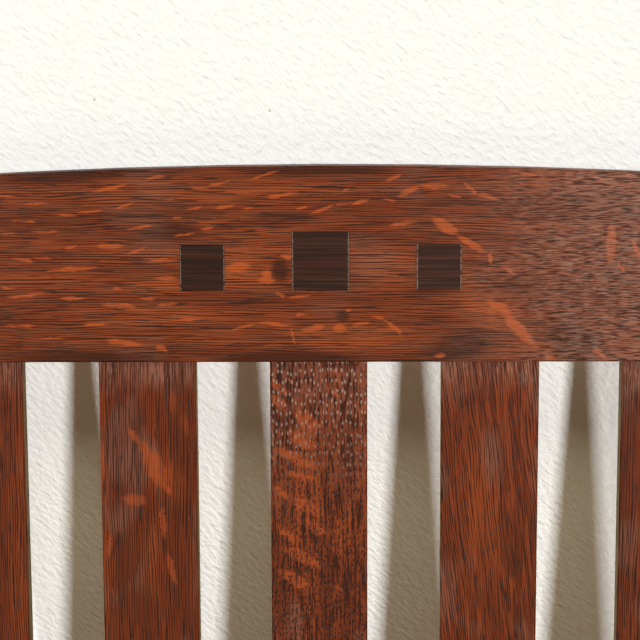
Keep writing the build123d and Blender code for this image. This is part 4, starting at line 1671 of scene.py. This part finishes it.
    def sew(self, ends: np.ndarray) -> None:
        """Makes all the stitches as one piece.

        Each is a rod of four rings, thin at both ends, that bows a little above the leather.

        Args:
            ends: the start and end of each stitch.
        """
        shares = np.array((0.0, 0.2, 0.8, 1.0))
        girths = np.array((0.35, 1.0, 1.0, 0.35)) * self.stitch_thick
        lifts = np.array((-0.2, 0.9, 0.9, -0.2)) * self.stitch_thick
        middle = ends[:, :1] + (ends[:, 1:] - ends[:, :1]) * shares[None, :, None]
        middle[:, :, 2] += lifts
        sides = self.stitch_sides
        turn = np.linspace(0.0, math.tau, sides, endpoint=False)
        ring = np.stack([np.cos(turn), np.zeros(sides), np.sin(turn)], axis=1)
        points = middle[:, :, None, :] + girths[None, :, None, None] * ring[None, None, :, :]
        one = grid_faces(len(shares), sides, False, True)
        faces = (one[None] + len(shares) * sides * np.arange(len(ends))[:, None, None]).reshape(-1, 4)
        new_piece("stitches", points.reshape(-1, 3), faces.tolist(), "seat",
                  ThreadFinish().material())


@dataclass
class SeatWebbing:
    """Jute straps woven over and under each other on the seat's frame. Lengths are metres."""

    long_count: int = 5
    cross_count: int = 12
    wide: float = 0.050
    thick: float = 0.0008
    lift: float = 0.00045
    cell_points: int = 12

    def straps(self, name: str, along: int, count: int, other: int, phase: int,
               node: str) -> bpy.types.Object:
        """One set of straps, as one piece.

        A strap's height is the middle height plus its lift times the cosine of its way along,
        with half a turn from one crossing strap to the next, so neighbours lie opposite ways.

        Args:
            name: the piece's name.
            along: the axis that the straps run along.
            count: how many there are.
            other: how many cross them.
            phase: 0 or 1, which set passes over first.
            node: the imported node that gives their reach.

        Returns:
            The new piece.
        """
        low, high = (np.array(corner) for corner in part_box(node))
        across = 1 - along
        steps = self.cell_points * other + 1
        way = np.linspace(low[along], high[along], steps)
        cell = (high[along] - low[along]) / other
        centres = low[across] + (np.arange(count) + 0.5) * (high[across] - low[across]) / count
        sign = np.where((np.arange(count) + phase) % 2 == 0, 1.0, -1.0)
        wave = np.cos((way - low[along] - cell / 2) * math.pi / cell)
        height = (low[2] + high[2]) / 2 + self.lift * sign[:, None] * wave[None, :]
        corners = np.array(((-0.5, -0.5), (0.5, -0.5), (0.5, 0.5), (-0.5, 0.5))) * (self.wide, self.thick)
        points = np.empty((count, steps, 4, 3))
        points[..., along] = way[None, :, None]
        points[..., across] = centres[:, None, None] + corners[None, None, :, 0]
        points[..., 2] = height[:, :, None] + corners[None, None, :, 1]
        one = grid_faces(steps, 4, False, True).tolist()
        one.append([3, 2, 1, 0])
        one.append([4 * (steps - 1) + number for number in range(4)])
        faces = []
        for number in range(count):
            faces += [[vertex + number * steps * 4 for vertex in face] for face in one]
        piece = new_piece(name, points.reshape(-1, 3), faces, "seat",
                          WebbingFinish("jute_" + name, along).material())
        piece.data.shade_flat()
        return piece

    def build(self) -> None:
        """Makes both sets of straps."""
        long_set = self.straps("straps_long", 0, self.long_count, self.cross_count, 0, "seat_webbing")
        self.straps("straps_cross", 1, self.cross_count, self.long_count, 1, "seat_webbing")
        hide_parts("seat_webbing")
        log.info("webbing built")


@dataclass
class CleatScrews:
    """Slotted screws that hold the cleats to the seat rails. Lengths are metres.

    A head's outer rows are given as shares of its radius, and how far its slot opens upward as
    the slot's width at the top over its width below. Turns are radians.
    """

    radius: float = 0.0042
    dome: float = 0.0012
    edge_share: float = 0.5
    outer_rows: Triple = (0.5, 0.8, 0.97)
    row_points: int = 11
    slot_wide: float = 0.0009
    slot_deep: float = 0.0008
    slot_open: float = 1.05
    margin: float = 0.09
    long_count: int = 7
    side_count: int = 4
    first_turn: float = 0.4
    next_turn: float = 1.9

    def head(self, place: np.ndarray, out: np.ndarray, turn: float) -> tuple[np.ndarray, np.ndarray]:
        """One screw's head.

        It is made of rows side by side, each as long as the circle allows. A point's height is a
        dome that falls off with the square of its distance from the middle, less the slot's depth
        in the two middle rows.

        Args:
            place: the middle of its underside.
            out: the direction that it faces.
            turn: how far its slot is turned, in radians.

        Returns:
            Its vertices and faces.
        """
        outer = np.array(self.outer_rows) * self.radius
        slot = np.array((1.0, self.slot_open)) * self.slot_wide / 2
        rows = np.concatenate([-outer[::-1], -slot[::-1], slot, outer])
        ends = np.sqrt(self.radius ** 2 - rows ** 2)
        steps = np.linspace(-1.0, 1.0, self.row_points)
        u = np.repeat(rows[:, None], self.row_points, axis=1)
        v = ends[:, None] * steps[None, :]
        rise = self.dome * (1 - (u ** 2 + v ** 2) / self.radius ** 2) + self.dome * self.edge_share
        middle = len(rows) // 2
        rise[middle - 1:middle + 1] -= self.slot_deep
        rise[:, (0, -1)] = 0.0
        rise[(0, -1), :] = 0.0
        up = np.array((0.0, 0.0, 1.0))
        side = np.cross(out, up)
        first = math.cos(turn) * side + math.sin(turn) * up
        second = -math.sin(turn) * side + math.cos(turn) * up
        points = place + u[..., None] * first + v[..., None] * second + rise[..., None] * out
        return points.reshape(-1, 3), grid_faces(len(rows), self.row_points, False, False)

    def places(self) -> list[tuple[np.ndarray, np.ndarray]]:
        """Where the screws sit on the cleats' inner faces.

        Returns:
            Each one's place and the direction that it faces.
        """
        found = []
        for node, inward in (("cleat_front", 1.0), ("cleat_back", -1.0)):
            low, high = (np.array(corner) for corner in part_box(node))
            face = low[1] if inward < 0 else high[1]
            for x in np.linspace(low[0] + self.margin, high[0] - self.margin, self.long_count):
                found.append((np.array((x, face, (low[2] + high[2]) / 2)), np.array((0.0, inward, 0.0))))
        low, high = (np.array(corner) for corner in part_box("side_cleats"))
        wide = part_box("cleat_front")[1].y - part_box("cleat_front")[0].y
        for inward, face in ((-1.0, high[0] - wide), (1.0, low[0] + wide)):
            for y in np.linspace(low[1] + self.margin, high[1] - self.margin, self.side_count):
                found.append((np.array((face, y, (low[2] + high[2]) / 2)), np.array((inward, 0.0, 0.0))))
        return found

    def build(self) -> None:
        """Makes all the screws as one piece."""
        points = []
        faces = []
        made = 0
        for number, (place, out) in enumerate(self.places()):
            some, quads = self.head(place, out, self.first_turn + number * self.next_turn)
            faces.append(quads + made)
            points.append(some)
            made += len(some)
        new_piece("cleat_screws", np.concatenate(points), np.concatenate(faces).tolist(), "frame",
                  SteelFinish().material())
        log.info("screws built")


@dataclass(frozen=True)
class Lamp:
    """A soft lamp aimed at the middle of the back.

    Its power is what gives its level of light there, where 1 shows a colour as it is written:
    level times pi squared times the distance squared, for a lamp that faces the place it
    lights. Bearing is degrees to the right of straight in front, and rise is degrees above
    level. Away is its distance and size its width and height, in metres.
    """

    name: str
    bearing: float
    rise: float
    away: float
    size: Pair
    level: float
    colour: Colour = (1.0, 1.0, 1.0)
    aim: Triple = (0.0, 0.36, 0.85)

    def build(self) -> None:
        """Puts the lamp in the scene."""
        data = bpy.data.lights.new(self.name, "AREA")
        data.shape = "RECTANGLE"
        data.size, data.size_y = self.size
        data.energy = self.level * math.pi ** 2 * self.away ** 2
        data.color = self.colour
        lamp = bpy.data.objects.new(self.name, data)
        turn = math.radians(self.bearing)
        lift = math.radians(self.rise)
        lamp.location = (self.aim[0] + self.away * math.sin(turn) * math.cos(lift),
                         self.aim[1] - self.away * math.cos(turn) * math.cos(lift),
                         self.aim[2] + self.away * math.sin(lift))
        lamp.rotation_euler = (math.pi / 2 - lift, 0.0, turn)
        bpy.context.scene.collection.objects.link(lamp)


LAMPS = (
    Lamp("lamp_right", 23.6, 13.2, 6.0, (0.65, 0.60), 0.62),
    Lamp("lamp_left", -32.7, 12.2, 6.0, (0.65, 0.60), 0.515),
    Lamp("lamp_high", 0.0, 55.0, 3.0, (2.0, 1.0), 0.30, colour=(1.0, 0.90, 0.62)),
    Lamp("lamp_behind", 180.0, 35.0, 3.5, (1.6, 1.6), 0.50),
    Lamp("lamp_end_right", 102.0, 14.0, 4.0, (1.0, 1.2), 0.40),
    Lamp("lamp_end_left", -102.0, 14.0, 4.0, (1.0, 1.2), 0.40),
)


@dataclass
class Studio:
    """A pale floor and wall, soft lamps all round, and the camera. Lengths are metres.

    Three lamps stand in front, one of them high up. The other three stand behind the wall's
    plane, where they light the settle's back and ends and not the wall's face, and the wall
    doesn't stop their light. Low down behind the settle the wall is painted brighter than a real
    paint could be, a painted pool of light that makes up for the shade the settle throws there,
    and it is dimmer above and to the sides. Of wall_turn and wall_sides, the first is where the
    brighter paint begins to turn to the dimmer paint and the second where it has turned, in
    height and to the sides.
    """

    wall_gap: float = 0.013
    wall_half: float = 6.0
    wall_high: float = 4.5
    # Painted light: the lower paint times the level is brighter than any real paint, standing in for light
    # where the settle shades the wall.
    wall_colour_with_painted_light: Colour = srgb(247, 249, 247)
    wall_high_colour: Colour = (0.583, 0.592, 0.600)
    wall_level: float = 1.370
    wall_uneven: float = 0.97
    wall_turn: Pair = (0.83, 0.94)
    wall_sides: Pair = (0.60, 0.74)
    dab_slant: float = 40.0
    dab_cycles: Triple = (170.0, 170.0, 330.0)
    dab_depth: float = 0.0019
    pit_cycle: float = 32.0
    pit_radii: Pair = (0.02, 0.045)
    pit_share: float = 0.5
    pit_colour: Colour = srgb(120, 112, 98)
    floor_half: float = 12.0
    floor_drop: float = 0.0002
    floor_colour: Colour = srgb(236, 236, 238)
    floor_bounce: Colour = srgb(176, 172, 132)
    floor_cycles: Triple = (3.0, 3.0, 3.0)
    floor_uneven: float = 0.97
    floor_fade: Pair = (1.5, 3.2)
    backdrop: Colour = srgb(244, 242, 236)
    shade_colour: Colour = srgb(230, 220, 120)
    ambient: float = 0.045
    reflected_share: float = 0.25
    camera_place: Triple = (0.0201, -0.7221, 1.1792)
    camera_turn: Triple = (73.758, 0.390, 0.974)
    lens: float = 98.44
    sensor: float = 36.0
    lamps: tuple[Lamp, ...] = LAMPS

    def plane(self, name: str, corners: list[tuple], material: bpy.types.Material) -> bpy.types.Object:
        """A flat stage piece.

        Args:
            name: its name.
            corners: four corners in order.
            material: its finish.

        Returns:
            The new object.
        """
        mesh = bpy.data.meshes.new(name)
        mesh.from_pydata(corners, [], [(0, 1, 2, 3)])
        mesh.materials.append(material)
        piece = bpy.data.objects.new(name, mesh)
        bpy.context.scene.collection.objects.link(piece)
        return piece

    def wall_material(self) -> bpy.types.Material:
        """Pale paint, laid on in slanting dabs with small pits, that is see-through from behind.

        Low down behind the settle it is painted brighter, a painted pool of light, and dimmer above
        and to the sides.

        Returns:
            The material.
        """
        shader = Shader("stage_wall")
        place = shader.object_place()
        slant = shader.placed(place, (0.0, 0.0, 0.0), (0.0, math.radians(self.dab_slant), 0.0))
        dabs = shader.noise(slant, self.dab_cycles, detail=3.0)
        parts = shader.separate(place)
        beside = shader.step(shader.calc("ABSOLUTE", parts[0]), *self.wall_sides)
        # Where the painted pool of light behind the settle turns to the dimmer paint above and to the sides.
        upper = shader.calc("MAXIMUM", shader.step(parts[2], *self.wall_turn), beside)
        tone = shader.step(dabs, *NOISE_SPAN, self.wall_level * self.wall_uneven, self.wall_level)
        colour = shader.blend(upper, self.wall_colour_with_painted_light, self.wall_high_colour)
        colour = shader.blend(1.0, colour, shader.combine(tone, tone, tone), "MULTIPLY")
        pits = shader.node("TexVoronoi", feature="F1")
        shader.feed(pits.inputs["Vector"], place)
        pits.inputs["Scale"].default_value = self.pit_cycle
        pit = shader.step(pits.outputs["Distance"], *self.pit_radii, self.pit_share, 0.0)
        colour = shader.blend(pit, colour, self.pit_colour)
        paint = shader.node("BsdfDiffuse")
        shader.feed(paint.inputs["Color"], colour)
        shader.feed(paint.inputs["Normal"], shader.bump(dabs, self.dab_depth, 1.0))
        clear = shader.node("BsdfTransparent")
        choice = shader.node("MixShader")
        shader.feed(choice.inputs[0], shader.node("NewGeometry").outputs["Backfacing"])
        shader.feed(choice.inputs[1], paint.outputs[0])
        shader.feed(choice.inputs[2], clear.outputs[0])
        shader.feed(shader.node("OutputMaterial").inputs["Surface"], choice.outputs[0])
        return shader.material

    def floor_material(self) -> bpy.types.Material:
        """A plain pale floor with a faint unevenness.

        Far off it is seen as pale as the backdrop. The light that comes back off it is warmer
        and dimmer than it is seen, as off a room's floor.

        Returns:
            The material.
        """
        shader = Shader("stage_floor")
        place = shader.object_place()
        cloud = shader.noise(place, self.floor_cycles, detail=3.0)
        seen = shader.node("LightPath").outputs["Is Camera Ray"]
        colour = shader.blend(seen, self.floor_bounce, self.floor_colour)
        tone = shader.step(cloud, *NOISE_SPAN, self.floor_uneven, 1.0)
        colour = shader.blend(1.0, colour, tone, "MULTIPLY")
        paint = shader.node("BsdfDiffuse")
        shader.feed(paint.inputs["Color"], colour)
        glow = shader.node("Emission")
        shader.feed(glow.inputs["Color"], self.backdrop)
        away = shader.vector("LENGTH", place, (0.0, 0.0, 0.0))
        far = shader.step(away, *self.floor_fade)
        choice = shader.node("MixShader")
        shader.feed(choice.inputs[0], shader.calc("MULTIPLY", far, seen))
        shader.feed(choice.inputs[1], paint.outputs[0])
        shader.feed(choice.inputs[2], glow.outputs[0])
        shader.feed(shader.node("OutputMaterial").inputs["Surface"], choice.outputs[0])
        return shader.material

    def build_stage(self) -> None:
        """The floor, and a wall just behind the posts' tops that throws no shade itself."""
        half = self.floor_half
        low = -self.floor_drop
        corners = [(-half, -half, low), (half, -half, low), (half, half, low), (-half, half, low)]
        self.plane("stage_floor", corners, self.floor_material())
        y = cad_box[1][1] + self.wall_gap
        wide = self.wall_half
        high = self.wall_high
        corners = [(-wide, y, low), (wide, y, low), (wide, y, high), (-wide, y, high)]
        wall = self.plane("stage_wall", corners, self.wall_material())
        wall.visible_diffuse = False
        wall.visible_glossy = False
        wall.visible_transmission = False
        wall.visible_shadow = False

    def build_world(self) -> None:
        """Even light all round, seen by the camera as a pale backdrop.

        The camera and clear surfaces see the backdrop at its full strength. Glossy surfaces see
        a share of it, as they would in a room whose far side is dim, and the light that falls
        on the rest is warmer, as if it came back off wood.
        """
        world = bpy.data.worlds.new("studio")
        bpy.context.scene.world = world
        world.use_nodes = True
        nodes = world.node_tree.nodes
        links = world.node_tree.links
        nodes.clear()
        path = nodes.new("ShaderNodeLightPath")
        glossy = nodes.new("ShaderNodeMath")
        glossy.operation = "MULTIPLY"
        glossy.inputs[1].default_value = self.reflected_share
        links.new(path.outputs["Is Glossy Ray"], glossy.inputs[0])
        seen = nodes.new("ShaderNodeMath")
        seen.operation = "ADD"
        links.new(path.outputs["Is Camera Ray"], seen.inputs[0])
        links.new(path.outputs["Is Transmission Ray"], seen.inputs[1])
        share = nodes.new("ShaderNodeMath")
        share.operation = "ADD"
        share.use_clamp = True
        links.new(seen.outputs[0], share.inputs[0])
        links.new(glossy.outputs[0], share.inputs[1])
        strength = nodes.new("ShaderNodeMapRange")
        strength.inputs["To Min"].default_value = self.ambient
        strength.inputs["To Max"].default_value = 1.0
        links.new(share.outputs[0], strength.inputs["Value"])
        background = nodes.new("ShaderNodeBackground")
        tint = nodes.new("ShaderNodeMix")
        tint.data_type = "RGBA"
        tint.inputs[6].default_value = (*self.shade_colour, 1.0)
        tint.inputs[7].default_value = (*self.backdrop, 1.0)
        pale = nodes.new("ShaderNodeMath")
        pale.operation = "ADD"
        pale.use_clamp = True
        links.new(seen.outputs[0], pale.inputs[0])
        links.new(path.outputs["Is Glossy Ray"], pale.inputs[1])
        links.new(pale.outputs[0], tint.inputs[0])
        links.new(tint.outputs[2], background.inputs["Color"])
        links.new(strength.outputs[0], background.inputs["Strength"])
        output = nodes.new("ShaderNodeOutputWorld")
        links.new(background.outputs[0], output.inputs["Surface"])

    def build_camera(self) -> None:
        """The camera, a metre in front of the crest and looking down on it a little."""
        data = bpy.data.cameras.new("camera")
        data.lens = self.lens
        data.sensor_width = self.sensor
        camera = bpy.data.objects.new("camera", data)
        camera.location = self.camera_place
        camera.rotation_euler = tuple(math.radians(angle) for angle in self.camera_turn)
        bpy.context.scene.collection.objects.link(camera)
        bpy.context.scene.camera = camera

    def build(self) -> None:
        """Makes the stage, light and camera."""
        bpy.context.scene.view_settings.view_transform = "Standard"
        self.build_camera()
        self.build_stage()
        self.build_world()
        for lamp in self.lamps:
            lamp.build()
        log.info("studio built")


def main() -> None:
    """Builds the settle's looks in order."""
    logging.basicConfig(level=logging.INFO, format="%(message)s")
    Studio().build()
    SettleBack().build()
    SettleFrame().build()
    SeatWebbing().build()
    SeatPad().build()
    CleatScrews().build()


if __name__ == "__main__":
    main()
